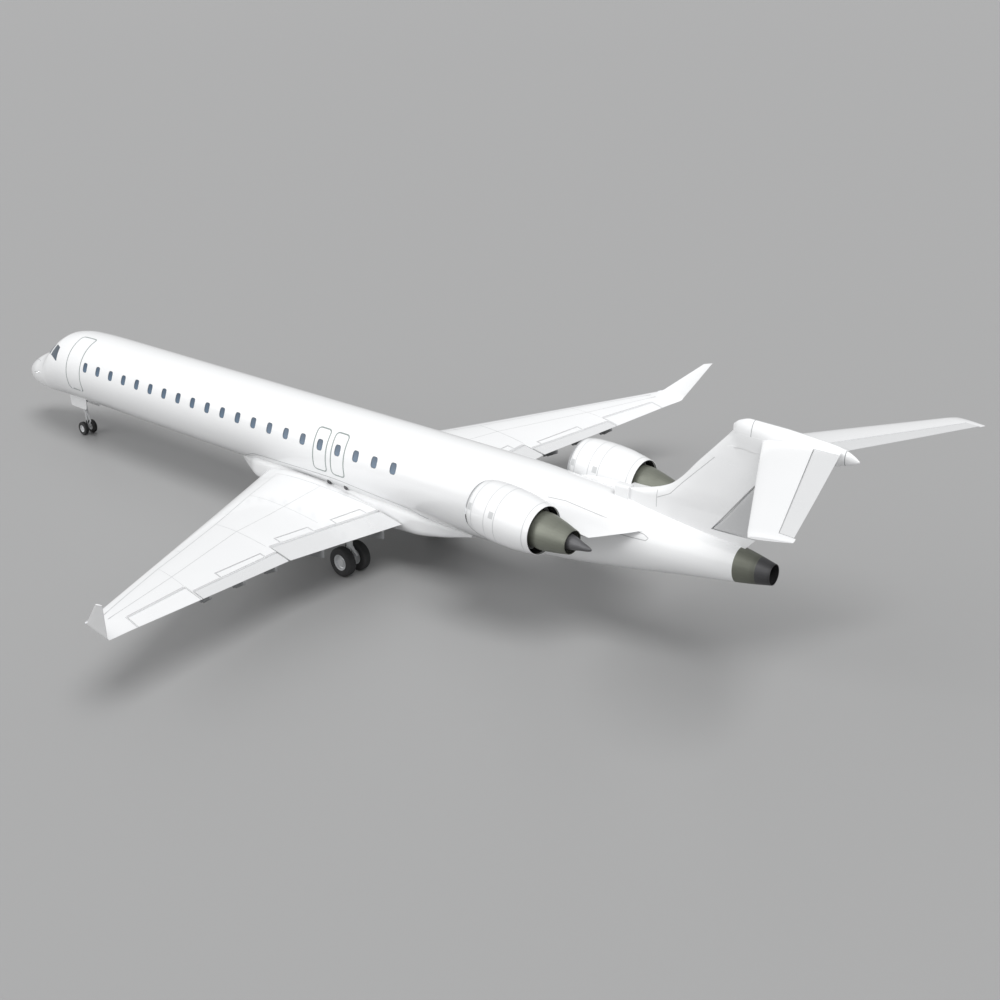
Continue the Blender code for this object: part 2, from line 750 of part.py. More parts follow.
def make_tracks(surface: Surface, wing: bpy.types.Object, flap: bpy.types.Object, sign: int) -> None:
    """Give a flap its hinge fairings: a fixed front part under the wing and a moving rear part under the flap."""
    inner, outer = hinge_line(surface, sign)
    along = (outer - inner).normalized()
    for side, depth, reach_ahead in TRACKS[surface.name]:
        share = (side - surface.inner) / (surface.outer - surface.inner)
        pivot = inner.lerp(outer, share)
        hinge_s = pivot.y + LENGTH / 2
        hinge_z = pivot.z - CENTRE_HEIGHT
        _, _, trail_s, trail_z, _ = wing_edges(side)
        middle, half = wing_half_thickness(side, hinge_s + 0.10)
        under = middle - half
        rows = (
            (hinge_s, hinge_z - TRACK_BARREL * 0.9, hinge_z + TRACK_BARREL * 0.9, TRACK_HALF * 0.7),
            (hinge_s + 0.08, hinge_z - TRACK_BARREL, under + 0.04, TRACK_HALF),
            (trail_s - TRACK_OVERHANG, trail_z - depth - 0.01, trail_z - 0.001, TRACK_HALF),
            (trail_s + TRACK_OVERHANG, trail_z - depth, trail_z - 0.03, TRACK_HALF * 0.7),
        )
        rings = []
        for station, low, high, width in rows:
            corners = ((-width, high), (width, high), (width, low + 0.02), (0.0, low), (-width, low + 0.02))
            rings.append([spot(station, sign * side + offset, height) for offset, height in corners])
        combine(flap, add_cutter(ring_mesh(rings)), "UNION")
        moving_start = pivot - along * TRACK_MOVING / 2
        moving_end = pivot + along * TRACK_MOVING / 2
        combine(flap, add_cutter(rod_mesh(moving_start, moving_end, TRACK_BARREL, facets=16)), "UNION")
        front = hinge_s - TRACK_BARREL - 3 * CLEAR
        wall = surface.edge(side)
        _, nose_middle, nose_radius = nose_of(surface, side)
        shelf = nose_middle - nose_radius - 6 * CLEAR
        tip = wall - reach_ahead
        fixed_rows = [(tip, wing_bottom(side, tip) - 0.01, wing_bottom(side, tip) + 0.08, TRACK_HALF * 0.4)]
        for station in (wall - reach_ahead / 3, min(wall - 0.014, front)):
            fixed_rows.append((station, hinge_z - TRACK_BARREL, wing_bottom(side, station) + 0.07, TRACK_HALF))
        if front > wall + END_GAP / 2:
            for station in (wall - 0.006, front):
                fixed_rows.append((station, hinge_z - TRACK_BARREL, shelf, TRACK_HALF))
        rings = []
        for station, low, high, width in fixed_rows:
            corners = ((-width, high), (width, high), (width, low + 0.005), (0.0, low), (-width, low + 0.005))
            rings.append([spot(station, sign * side + offset, height) for offset, height in corners])
        combine(wing, add_cutter(ring_mesh(rings)), "UNION")
        fixed_start = moving_start - along * TOUCH
        fixed_end = fixed_start - along * TRACK_FIXED
        combine(wing, add_cutter(rod_mesh(fixed_end, fixed_start, TRACK_BARREL, facets=16)), "UNION")
        forward = Vector((along.y, -along.x, 0.0)).normalized()
        if forward.y > 0:
            forward = -forward
        arm_centre = (fixed_start + fixed_end) / 2
        arm_rings = []
        for reach, inwards in ((0.0, 0.0), (TRACK_BARREL + CLEAR + 0.004, 0.0), (0.11, 0.075), (0.24, 0.075)):
            centre = arm_centre + forward * reach + along * inwards
            half_width = along * (TRACK_FIXED / 2 - CLEAR)
            rise = Vector((0.0, 0.0, TRACK_BARREL * 0.7))
            arm_rings.append([
                centre - half_width - rise,
                centre + half_width - rise,
                centre + half_width + rise,
                centre - half_width + rise,
            ])
        combine(wing, add_cutter(ring_mesh(arm_rings)), "UNION")


def wing_bottom(side: float, station: float) -> float:
    """Find the height of the wing's bottom surface at a station."""
    middle, half = wing_half_thickness(side, station)
    return middle - half


@dataclass(frozen=True)
class Spoiler:
    """A slim panel on the wing's top, just ahead of a flap, that lifts about its front edge."""

    name: str
    inner: float
    outer: float
    inner_front: float
    outer_front: float
    inner_back: float
    outer_back: float


SPOILERS = (
    Spoiler("spoiler_inboard", 1.64, 2.83, 20.530, 20.595, 20.81, 20.845),
    Spoiler("spoiler_middle", 3.77, 4.98, 20.615, 20.655, 20.872, 20.907),
    Spoiler("spoiler_outboard", 5.95, 7.66, 21.160, 21.468, 21.347, 21.69),
)
SPOILER_RADIUS = 0.014
SPOILER_EDGE = 0.012
SPOILER_CUT_OVERRUN = 0.08


def wing_top(side: float, station: float) -> float:
    """Find the height of the wing's top surface at a station."""
    middle, half = wing_half_thickness(side, station)
    return middle + half


def spoiler_hinge(spoiler: Spoiler, sign: int) -> tuple:
    """Find a spoiler's hinge line, just below the wing's top along its front edge."""
    points = []
    for side, front in ((spoiler.inner, spoiler.inner_front), (spoiler.outer, spoiler.outer_front)):
        station = front + SPOILER_RADIUS
        points.append(spot(station, sign * side, wing_top(side, station) - SPOILER_RADIUS))
    return tuple(points)


def flatten_floor(tools: list[list[Vector]]) -> None:
    """Make the floor of a spoiler's room one flat plane, at least as deep as asked at all four corners."""
    near, far = tools
    normal = (far[0] - near[0]).cross(near[3] - near[0])
    level = near[0].z - (normal.x * (far[3].x - near[0].x) + normal.y * (far[3].y - near[0].y)) / normal.z
    shift = max(level - far[3].z, 0.0)
    far[3].z = level
    for corner in (near[0], near[3], far[0], far[3]):
        corner.z -= shift


def make_spoiler(spoiler: Spoiler, wing: bpy.types.Object, label: str, sign: int) -> None:
    """Let a spoiler into the wing's top, with a round front edge and a hinge pin at each end."""
    start, end = spoiler_hinge(spoiler, sign)
    rings = []
    tools = []
    for side, pivot, back in ((spoiler.inner, start, spoiler.inner_back), (spoiler.outer, end, spoiler.outer_back)):
        station = pivot.y + LENGTH / 2
        height = pivot.z - CENTRE_HEIGHT
        top = wing_top(side, back)
        points = []
        for degrees in (90.0, 135.0, 180.0, 225.0, 270.0):
            angle = math.radians(degrees)
            reach = station + SPOILER_RADIUS * math.cos(angle)
            points.append(spot(reach, sign * side, height + SPOILER_RADIUS * math.sin(angle)))
        points.append(spot(back, sign * side, top - SPOILER_EDGE))
        points.append(spot(back, sign * side, top))
        middle_s = (station + back) / 2
        points.append(spot(middle_s, sign * side, wing_top(side, middle_s)))
        rings.append(points)
        outwards = 1 if side == spoiler.outer else -1
        room = sign * (side + outwards * END_GAP)
        floor = height - SPOILER_RADIUS - CLEAR
        corners = (
            (station - SPOILER_RADIUS - CLEAR, floor),
            (station - SPOILER_RADIUS - CLEAR, floor + 0.30),
            (back + SPOILER_CUT_OVERRUN, floor + 0.30),
            (back + SPOILER_CUT_OVERRUN, min(floor, top - SPOILER_EDGE - CLEAR)),
        )
        tools.append([spot(place, room, level) for place, level in corners])
    flatten_floor(tools)
    panel = add_piece(f"{spoiler.name}_{label}", ring_mesh(rings), "white_paint")
    hang_on(panel, start)
    combine(wing, add_cutter(ring_mesh(tools)), "DIFFERENCE")
    add_pins(panel, start, end, SPOILER_RADIUS * 0.7, END_GAP)


def make_wing(label: str, sign: int) -> None:
    """Make one wing with its winglet, flaps, aileron, spoilers and hinge fairings."""
    wing = add_piece(f"wing_{label}", ring_mesh(wing_rings(sign)), "white_paint")
    inboard, outboard, aileron = SURFACES
    room_sides = (
        (WING_ROOT - 0.5, inboard.outer + FLAP_GAP + END_GAP / 2),
        (inboard.outer + FLAP_GAP - END_GAP, outboard.outer + FLAP_GAP),
        (aileron.inner - END_GAP, aileron.outer + END_GAP),
    )
    for surface, sides in zip(SURFACES, room_sides):
        edges = tuple(surface.edge(side) for side in sides)
        combine(wing, add_cutter(prism(sides, edges, 24.5, -2.2, 0.4, sign)), "DIFFERENCE")
    gear_low = (MAIN_GEAR_STATION - 0.20, sign * (BRACE_SIDE - 0.10), -1.80)
    gear_high = (MAIN_GEAR_STATION + 0.13, sign * (MAIN_GEAR_SIDE + 0.22), LEG_ROOF)
    combine(wing, add_cutter(box_mesh(gear_low, gear_high)), "DIFFERENCE")
    for surface in SURFACES:
        middle = (surface.inner + surface.outer) / 2
        rings = [surface_ring(surface, side, sign) for side in (surface.inner, middle, surface.outer)]
        piece = add_piece(f"{surface.name}_{label}", ring_mesh(rings), "white_paint")
        hang_on(piece, hinge_line(surface, sign)[0])
        if surface.name in TRACKS:
            make_tracks(surface, wing, piece, sign)
        else:
            start, end = hinge_line(surface, sign)
            add_pins(piece, start, end, 0.020, END_GAP)
    for spoiler in SPOILERS:
        make_spoiler(spoiler, wing, label, sign)


def fin_row(height: float) -> tuple:
    """Read the fin's edges and thickness at a height."""
    rows = np.array(FIN)
    return tuple(float(np.interp(height, rows[:, 0], rows[:, column])) for column in range(1, 4))


def fin_rings() -> list[list[Vector]]:
    """Find the fin's sections, from inside the body up into the bullet fairing."""
    rings = []
    for height, lead_s, trail_s, thickness in FIN:
        lead, trail = spot(lead_s, 0.0, height), spot(trail_s, 0.0, height)
        rings.append(airfoil(lead, trail, thickness / (trail_s - lead_s), Vector((1.0, 0.0, 0.0))))
    return rings


def rudder_nose(height: float) -> tuple:
    """Find the rudder's hinge station and the radius of its round nose at a height."""
    lead_s, trail_s, thickness = fin_row(height)
    chord = trail_s - lead_s
    station = trail_s - RUDDER_CHORD
    radius = half_thickness(thickness / chord, chord, (station - lead_s) / chord)
    return station, radius


def make_rudder(fin: bpy.types.Object) -> None:
    """Cut the rudder out of the fin and hinge it on a line along its round nose."""
    rings = []
    walls = []
    for height in (RUDDER_FOOT, (RUDDER_FOOT + RUDDER_HEAD) / 2, RUDDER_HEAD):
        station, radius = rudder_nose(height)
        lead_s, trail_s, thickness = fin_row(height)
        chord = trail_s - lead_s
        points = []
        for degrees in (90.0, 120.0, 150.0, 180.0, 210.0, 240.0, 270.0):
            angle = math.radians(degrees)
            points.append(spot(station + radius * math.cos(angle), radius * math.sin(angle), height))
        half_way = (station + trail_s) / 2
        half = half_thickness(thickness / chord, chord, (half_way - lead_s) / chord)
        points.append(spot(half_way, -half, height))
        points.append(spot(trail_s, -TRAILING_EDGE / 2, height))
        points.append(spot(trail_s, TRAILING_EDGE / 2, height))
        points.append(spot(half_way, half, height))
        rings.append(points)
        walls.append(station - radius - CLEAR)
    rudder = add_piece("rudder", ring_mesh(rings), "white_paint")
    hang_on(rudder, spot(rudder_nose(RUDDER_FOOT)[0], 0.0, RUDDER_FOOT))
    slope = (walls[-1] - walls[0]) / (RUDDER_HEAD - RUDDER_FOOT)
    tool_rings = []
    for height in (RUDDER_FOOT - RUDDER_END_GAP, RUDDER_HEAD + RUDDER_END_GAP):
        wall = walls[0] + slope * (height - RUDDER_FOOT)
        corners = ((wall, -0.5), (wall, 0.5), (36.5, 0.5), (36.5, -0.5))
        tool_rings.append([spot(station, side, height) for station, side in corners])
    combine(fin, add_cutter(ring_mesh(tool_rings)), "DIFFERENCE")
    for near, far in ((RUDDER_FOOT, RUDDER_HEAD), (RUDDER_HEAD, RUDDER_FOOT)):
        start = spot(rudder_nose(near)[0], 0.0, near)
        other = spot(rudder_nose(far)[0], 0.0, far)
        along = (start - other).normalized()
        level = abs(along.z)
        radius = 0.020
        reach = (RUDDER_END_GAP - radius * math.sqrt(1 - level ** 2) - TOUCH) / level
        combine(rudder, add_cutter(rod_mesh(start - along * 0.06, start + along * reach, radius, facets=12)), "UNION")


def tailplane_row(side: float) -> tuple:
    """Read the tailplane's edges at a side."""
    rows = np.array(TAILPLANE)
    return tuple(float(np.interp(side, rows[:, 0], rows[:, column])) for column in range(1, 7))


def tailplane_rings(grow: float) -> list[list[Vector]]:
    """Find the tailplane's sections from tip to tip, grown a little for the slot in the bullet."""
    rings = []
    rows = [(RIGHT, row) for row in reversed(TAILPLANE[1:])] + [(LEFT, row) for row in TAILPLANE]
    for sign, (side, lead_s, lead_z, trail_s, trail_side, trail_z, ratio) in rows:
        lead = spot(lead_s - grow, sign * side, lead_z)
        trail = spot(trail_s + grow, sign * trail_side, trail_z)
        ratio += 2.4 * grow / (trail_s - lead_s)
        rings.append(airfoil(lead, trail, ratio, Vector((0.0, 0.0, 1.0))))
    return rings


ELEVATOR_INNER = 0.26
ELEVATOR_OUTER = 4.45
ELEVATOR_SHARE = 0.70


def elevator_nose(side: float) -> tuple:
    """Find the elevator's hinge station, height and nose radius at a side."""
    lead_s, lead_z, trail_s, _, trail_z, ratio = tailplane_row(side)
    chord = trail_s - lead_s
    station = lead_s + chord * ELEVATOR_SHARE
    middle = lead_z + (trail_z - lead_z) * ELEVATOR_SHARE
    return station, middle, half_thickness(ratio, chord, ELEVATOR_SHARE)


def elevator_hinge(sign: int) -> tuple:
    """Find two points of an elevator's hinge line."""
    points = []
    for side in (ELEVATOR_INNER, ELEVATOR_OUTER):
        station, middle, _ = elevator_nose(side)
        points.append(spot(station, sign * side, middle))
    return tuple(points)


def make_elevator(tailplane: bpy.types.Object, label: str, sign: int) -> None:
    """Cut an elevator out of the tailplane and hinge it along its round nose."""
    rings = []
    for side in (ELEVATOR_INNER, (ELEVATOR_INNER + ELEVATOR_OUTER) / 2, ELEVATOR_OUTER):
        station, middle, radius = elevator_nose(side)
        lead_s, lead_z, trail_s, _, trail_z, ratio = tailplane_row(side)
        points = []
        for degrees in (90.0, 120.0, 150.0, 180.0, 210.0, 240.0, 270.0):
            angle = math.radians(degrees)
            reach = station + radius * math.cos(angle)
            points.append(spot(reach, sign * side, middle + radius * math.sin(angle)))
        share = (1 + ELEVATOR_SHARE) / 2
        half = half_thickness(ratio, trail_s - lead_s, share)
        half_way = lead_s + (trail_s - lead_s) * share
        centre = lead_z + (trail_z - lead_z) * share
        points.append(spot(half_way, sign * side, centre - half))
        points.append(spot(trail_s, sign * side, trail_z - TRAILING_EDGE / 2))
        points.append(spot(trail_s, sign * side, trail_z + TRAILING_EDGE / 2))
        points.append(spot(half_way, sign * side, centre + half))
        rings.append(points)
    elevator = add_piece(f"elevator_{label}", ring_mesh(rings), "white_paint")
    hang_on(elevator, elevator_hinge(sign)[0])
    sides = (ELEVATOR_INNER - END_GAP, ELEVATOR_OUTER + END_GAP)
    walls = []
    for side in sides:
        station, _, radius = elevator_nose(side)
        walls.append(station - radius - CLEAR)
    combine(tailplane, add_cutter(prism(sides, tuple(walls), 37.5, 3.0, 4.4, sign)), "DIFFERENCE")
    start, end = elevator_hinge(sign)
    add_pins(elevator, start, end, 0.014, END_GAP)


def make_tail() -> None:
    """Make the fin, rudder, bullet fairing, tailplane, elevators and the small air intake."""
    fin = add_piece("fin", ring_mesh(fin_rings()), "white_paint")
    combine(fin, add_cutter(ring_mesh([body_ring(station, TOUCH) for station in rear_rings()])), "DIFFERENCE")
    bullet_tool = [oval_ring(*row, grow=TOUCH) for row in BULLET]
    combine(fin, add_cutter(ring_mesh(bullet_tool)), "DIFFERENCE")
    make_rudder(fin)
    bullet = add_piece("bullet_fairing", ring_mesh([oval_ring(*row) for row in BULLET]), "white_paint")
    combine(bullet, add_cutter(ring_mesh(tailplane_rings(2 * TOUCH))), "DIFFERENCE")
    tailplane = add_piece("tailplane", ring_mesh(tailplane_rings(0.0)), "white_paint")
    for label, sign in SIDES:
        make_elevator(tailplane, label, sign)
    intake = add_piece("tail_intake", box_mesh((28.86, -0.13, 0.90), (29.19, 0.13, 1.50)), "white_paint")
    combine(intake, add_cutter(ring_mesh([body_ring(station, TOUCH) for station in rear_rings()])), "DIFFERENCE")
    mouth = box_mesh((28.70, -0.105, 1.24), (29.10, 0.105, 1.475))
    combine(intake, add_cutter(mouth), "DIFFERENCE")


def rear_rings() -> list[float]:
    """List the stations of the rear body's own rings, so that what sits on it fits its facets."""
    stations = []
    for _, first, last, count, _ in BODY_PIECES[3:]:
        stations += piece_stations(first, last - TOUCH, count)
    return stations


def oval_ring(station: float, centre: float, half_width: float, half_height: float, grow: float = 0.0) -> list:
    """Find an oval ring across the bullet fairing."""
    facets = 16
    points = []
    for index in range(facets):
        angle = math.tau * index / facets
        side = (half_width + grow) * math.cos(angle)
        points.append(spot(station, side, centre + (half_height + grow) * math.sin(angle)))
    return points


def engine_axis(sign: int) -> tuple:
    """Find an engine's lip centre and the direction of its axis, aft."""
    front = spot(ENGINE_FRONT[0], sign * ENGINE_FRONT[1], ENGINE_FRONT[2])
    rear = spot(ENGINE_REAR[0], sign * ENGINE_REAR[1], ENGINE_REAR[2])
    return front, (rear - front).normalized()


def turned_piece(name: str, profile: tuple, closed: bool, sign: int, finish: str) -> bpy.types.Object:
    """Make a turned piece of an engine on the engine's axis."""
    piece = add_piece(name, profile_mesh(profile, closed), finish)
    front, aft = engine_axis(sign)
    turn_on_axis(piece, front, aft, ENGINE_FACETS)
    return piece


def radial_plate(sign: int, index: int, count: int, place: tuple, reach: tuple, size: tuple) -> bpy.types.Mesh:
    """Make a plate that stands out from the engine's axis: a guide vane or a fan blade.

    place is its front and back distance aft of the lip, reach its inner and outer radius,
    and size its thickness and the twist of its root and tip in degrees.
    """
    front, aft = engine_axis(sign)
    frame = aft.to_track_quat("Z", "Y").to_matrix()
    angle = math.tau * (index + 0.5) / count
    thickness, root_twist, tip_twist = size
    rings = []
    for radius, twist in zip(reach, (root_twist, tip_twist)):
        outwards = Vector((math.cos(angle), math.sin(angle), 0.0))
        across = Vector((-math.sin(angle), math.cos(angle), 0.0))
        lean = math.radians(twist)
        chord = Vector((0.0, 0.0, math.cos(lean))) + across * math.sin(lean)
        normal = across * math.cos(lean) - Vector((0.0, 0.0, math.sin(lean)))
        middle = outwards * radius + Vector((0.0, 0.0, (place[0] + place[1]) / 2))
        half = (place[1] - place[0]) / 2
        corners = (
            middle - chord * half,
            middle + normal * thickness / 2,
            middle + chord * half,
            middle - normal * thickness / 2,
        )
        rings.append([front + frame @ corner for corner in corners])
    return ring_mesh(rings)


PYLON = (
    # side, front station, back station, middle height, thickness
    (0.70, 26.45, 30.15, 0.69, 0.26),
    (1.02, 26.50, 29.97, 0.69, 0.26),
    (1.45, 26.55, 29.72, 0.70, 0.25),
    (2.00, 27.20, 29.36, 0.70, 0.20),
)


def make_engine(label: str, sign: int) -> None:
    """Make one engine: nacelle, core with its guide vanes, exhaust plug, fan and pylon."""
    turned_piece(f"nacelle_{label}", NACELLE, True, sign, "white_paint")
    core = turned_piece(f"engine_core_{label}", CORE, False, sign, "cowl_metal")
    reach = DUCT_RADIUS * math.cos(math.pi / ENGINE_FACETS) - TOUCH
    for index in range(GUIDE_VANES):
        vane = radial_plate(sign, index * 4, ENGINE_FACETS, (1.16, 1.38), (0.30, reach), (0.03, 0.0, 0.0))
        combine(core, add_cutter(vane), "UNION")
    turned_piece(f"exhaust_plug_{label}", PLUG, False, sign, "dark_metal")
    fan = turned_piece(f"fan_{label}", FAN_HUB, False, sign, "bare_metal")
    for index in range(FAN_BLADES):
        blade = radial_plate(
            sign, index, FAN_BLADES, (0.68, 0.86), (FAN_BLADE_ROOT, FAN_BLADE_TIP), (0.018, 20.0, 50.0)
        )
        combine(fan, add_cutter(blade), "UNION")
    rings = []
    for side, front, back, height, thickness in PYLON:
        lead, trail = spot(front, sign * side, height), spot(back, sign * side, height)
        rings.append(airfoil(lead, trail, thickness / (back - front), Vector((0.0, 0.0, 1.0))))
    pylon = add_piece(f"pylon_{label}", ring_mesh(rings), "white_paint")
    combine(pylon, add_cutter(ring_mesh([body_ring(station, TOUCH) for station in rear_rings()])), "DIFFERENCE")
    envelope = [(along, radius + TOUCH) for along, radius in NACELLE[:8]]
    envelope = [(envelope[0][0] + TOUCH, 0.0), (envelope[0][0] + TOUCH, envelope[0][1]), *envelope[1:]]
    envelope.append((envelope[-1][0] - TOUCH, 0.0))
    core_tool = [(along, radius + TOUCH * (radius > 0)) for along, radius in CORE]
    core_tool = [(3.60, 0.0), (3.60, 0.327), *core_tool[3:]]
    front, aft = engine_axis(sign)
    for profile in (envelope, core_tool):
        tool = add_cutter(profile_mesh(profile, False))
        turn_on_axis(tool, front, aft, ENGINE_FACETS)
        combine(pylon, tool, "DIFFERENCE")


def wheel_profile(radius: float, width: float, offset: float, rim: float, axle: float) -> list[tuple]:
    """Draw twin wheels and their axle as one turned outline, from the far end to the near one."""
    half = []
    inner = offset - width / 2
    outer = offset + width / 2
    half.append((outer - 0.03, 0.0))
    half.append((outer - 0.06, rim))
    half.append((outer - 0.01, rim + 0.02))
    half.append((outer, radius * 0.82))
    half.append((outer - width * 0.18, radius))
    half.append((inner + width * 0.18, radius))
    half.append((inner, radius * 0.82))
    half.append((inner + 0.01, rim + 0.02))
    half.append((inner + 0.04, axle * 1.6))
    hub = inner - 0.02
    half.append((hub, axle * 1.6))
    half.append((hub, axle))
    return half + [(-along, distance) for along, distance in reversed(half)]


WHEEL_FACETS = 24
MAIN_LEG_RADIUS = 0.095
NOSE_LEG_RADIUS = 0.070
MAIN_AXLE_RADIUS = 0.055
NOSE_AXLE_RADIUS = 0.030


def make_wheels(name: str, centre: Vector, sizes: tuple) -> None:
    """Make twin wheels on their axle, turned about the axle's line, with a flat of the tread on the ground."""
    half_step = math.pi / WHEEL_FACETS
    radius = sizes[0] / math.cos(half_step)
    piece = add_piece(name, profile_mesh(wheel_profile(radius, *sizes[1:]), False), "rubber")
    turn_on_axis(piece, centre, Vector((1.0, 0.0, 0.0)), WHEEL_FACETS)
    piece.rotation_quaternion = piece.rotation_quaternion @ Quaternion((0.0, 0.0, 1.0), half_step)


def axle_boss(leg: bpy.types.Object, centre: Vector, half: float, radius: float, bore: float) -> None:
    """Give a leg a boss round its axle, with a clear bore through it."""
    step = Vector((half, 0.0, 0.0))
    combine(leg, add_cutter(rod_mesh(centre - step, centre + step, radius)), "UNION")
    combine(leg, add_cutter(rod_mesh(centre - step * 1.5, centre + step * 1.5, bore)), "DIFFERENCE")


def make_main_gear(label: str, sign: int) -> None:
    """Make one main leg with its side brace, trunnion and axle boss, and its twin wheels."""
    axle = spot(MAIN_GEAR_STATION, sign * MAIN_GEAR_SIDE, MAIN_AXLE)
    top = spot(MAIN_GEAR_STATION, sign * MAIN_GEAR_SIDE, LEG_ROOF - TOUCH)
    leg = add_piece(f"main_leg_{label}", rod_mesh(axle, top, MAIN_LEG_RADIUS), "gear_paint")
    shoulder = spot(MAIN_GEAR_STATION, sign * MAIN_GEAR_SIDE, -1.30)
    knee = spot(MAIN_GEAR_STATION, sign * MAIN_GEAR_SIDE, -1.95)
    foot = spot(MAIN_GEAR_STATION, sign * BRACE_SIDE, LEG_ROOF - 0.06)
    combine(leg, add_cutter(rod_mesh(knee, foot, 0.045, facets=12)), "UNION")
    pad_low = (MAIN_GEAR_STATION - 0.09, sign * (BRACE_SIDE - 0.07), LEG_ROOF - 0.10)
    pad_high = (MAIN_GEAR_STATION + 0.09, sign * (BRACE_SIDE + 0.07), LEG_ROOF - TOUCH)
    combine(leg, add_cutter(box_mesh(pad_low, pad_high)), "UNION")
    step = Vector((0.0, 0.17, 0.0))
    shoulder_rod = rod_mesh(shoulder - step, shoulder + Vector((0.0, 0.11, 0.0)), 0.045, facets=12)
    combine(leg, add_cutter(shoulder_rod), "UNION")
    half = MAIN_TYRE_OFFSET - MAIN_TYRE_WIDTH / 2 - 0.02 - TOUCH
    axle_boss(leg, axle, half, 0.11, MAIN_AXLE_RADIUS + 0.006)
    sizes = (MAIN_TYRE_RADIUS, MAIN_TYRE_WIDTH, MAIN_TYRE_OFFSET, 0.24, MAIN_AXLE_RADIUS)
    make_wheels(f"main_wheels_{label}", axle, sizes)


STEERING_SPLIT = -1.95


def make_nose_gear() -> None:
    """Make the nose leg with its drag brace, the steered lower leg, the twin wheels and the bay doors."""
    roof = NOSE_BAY[1][2]
    top = spot(NOSE_GEAR_STATION, 0.0, roof - TOUCH)
    split = spot(NOSE_GEAR_STATION, 0.0, STEERING_SPLIT)
    leg = add_piece("nose_leg", rod_mesh(split, top, NOSE_LEG_RADIUS), "gear_paint")
    elbow = spot(NOSE_GEAR_STATION, 0.0, -1.55)
    anchor = spot(NOSE_BAY[1][0] - 0.10, 0.0, roof - 0.06)
    combine(leg, add_cutter(rod_mesh(elbow, anchor, 0.035, facets=12)), "UNION")
    combine(leg, add_cutter(box_mesh((3.75, -0.12, roof - 0.14), (3.94, 0.12, roof - TOUCH))), "UNION")
    axle = spot(NOSE_GEAR_STATION, 0.0, NOSE_AXLE)
    lower_top = split - Vector((0.0, 0.0, TOUCH))
    lower = add_piece("nose_leg_steered", rod_mesh(axle, lower_top, 0.050), "gear_paint")
    hang_on(lower, split)
    collar_low = lower_top - Vector((0.0, 0.0, 0.10))
    combine(lower, add_cutter(rod_mesh(collar_low, lower_top, 0.085)), "UNION")
    half = NOSE_TYRE_OFFSET - NOSE_TYRE_WIDTH / 2 - 0.02 - TOUCH
    axle_boss(lower, axle, half, 0.060, NOSE_AXLE_RADIUS + 0.006)
    sizes = (NOSE_TYRE_RADIUS, NOSE_TYRE_WIDTH, NOSE_TYRE_OFFSET, 0.13, NOSE_AXLE_RADIUS)
    make_wheels("nose_wheels", axle, sizes)
    wall = NOSE_BAY[1][1]
    for label, sign in SIDES:
        low = (2.70, sign * (wall - TOUCH - 0.025), -1.80)
        high = (3.80, sign * (wall - TOUCH), -1.18)
        add_piece(f"nose_bay_door_{label}", box_mesh(low, high), "white_paint")


def main() -> None:
    """Build the whole aircraft."""
    body = make_body()
    make_doors(body["cabin_front"])
    make_windscreen(body["nose_section"])
    combine(body["nose_section"], add_cutter(box_mesh(*NOSE_BAY)), "DIFFERENCE")
    make_fairing()
    for label, sign in SIDES:
        make_wing(label, sign)
        make_engine(label, sign)
        make_main_gear(label, sign)
    make_tail()
    make_nose_gear()


main()
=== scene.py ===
"""Dressed model of a rear-engined regional airliner with a T tail, standing on its gear.

Stations run aft from the nose tip, sides run to the left from the plane of symmetry, and heights
run up from the body's centreline, all in metres, as in the part's own drawing.
"""
import logging
import math
from dataclasses import dataclass, field
from enum import Enum
from typing import Callable, Iterable, Sequence

import bmesh
import bpy
import numpy as np
from mathutils import Matrix, Vector


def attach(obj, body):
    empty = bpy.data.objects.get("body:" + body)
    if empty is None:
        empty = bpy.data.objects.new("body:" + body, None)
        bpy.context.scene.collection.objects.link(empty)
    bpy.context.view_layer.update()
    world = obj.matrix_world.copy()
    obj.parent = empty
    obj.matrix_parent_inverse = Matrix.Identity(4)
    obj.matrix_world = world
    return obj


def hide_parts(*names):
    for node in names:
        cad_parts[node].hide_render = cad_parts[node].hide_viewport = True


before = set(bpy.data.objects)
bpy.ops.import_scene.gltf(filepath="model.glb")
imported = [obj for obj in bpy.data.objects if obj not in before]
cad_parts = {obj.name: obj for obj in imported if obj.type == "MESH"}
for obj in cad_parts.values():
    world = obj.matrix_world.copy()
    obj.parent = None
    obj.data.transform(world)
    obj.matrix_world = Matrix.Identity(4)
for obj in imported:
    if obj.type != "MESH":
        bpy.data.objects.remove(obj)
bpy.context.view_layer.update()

LOG = logging.getLogger("airliner")
Reals = float | np.ndarray
Rows = Sequence[Sequence[float]]
LENGTH = 36.594
CENTRE_HEIGHT = 2.95
BODY_RADIUS = 1.325
TIP_LENGTH = 0.15
BODY_END = 33.66
PROUD = 0.0025
TRAILING_EDGE = 0.008
CLEAR = 0.008
END_GAP = 0.020
RUDDER_GAP = 0.034
TOUCH = 0.0003
WING_CREASE = 26.0
SHARES = (1 - np.cos(np.linspace(0.0, math.pi, 34))) / 2
UPRIGHT = np.array([0.0, 0.0, 1.0])
SIDEWAYS = np.array([1.0, 0.0, 0.0])
AFT = np.array([0.0, 1.0, 0.0])


class Side(Enum):
    """The two sides of the aircraft; the value is the sign of the side coordinate."""

    LEFT = 1
    RIGHT = -1

    @property
    def label(self) -> str:
        """Give the word used in names."""
        return self.name.lower()

    def turn(self, degrees: Reals) -> Reals:
        """Give angles round the body on this side; the right side's run the other way."""
        return degrees if self is Side.LEFT else 180.0 - degrees


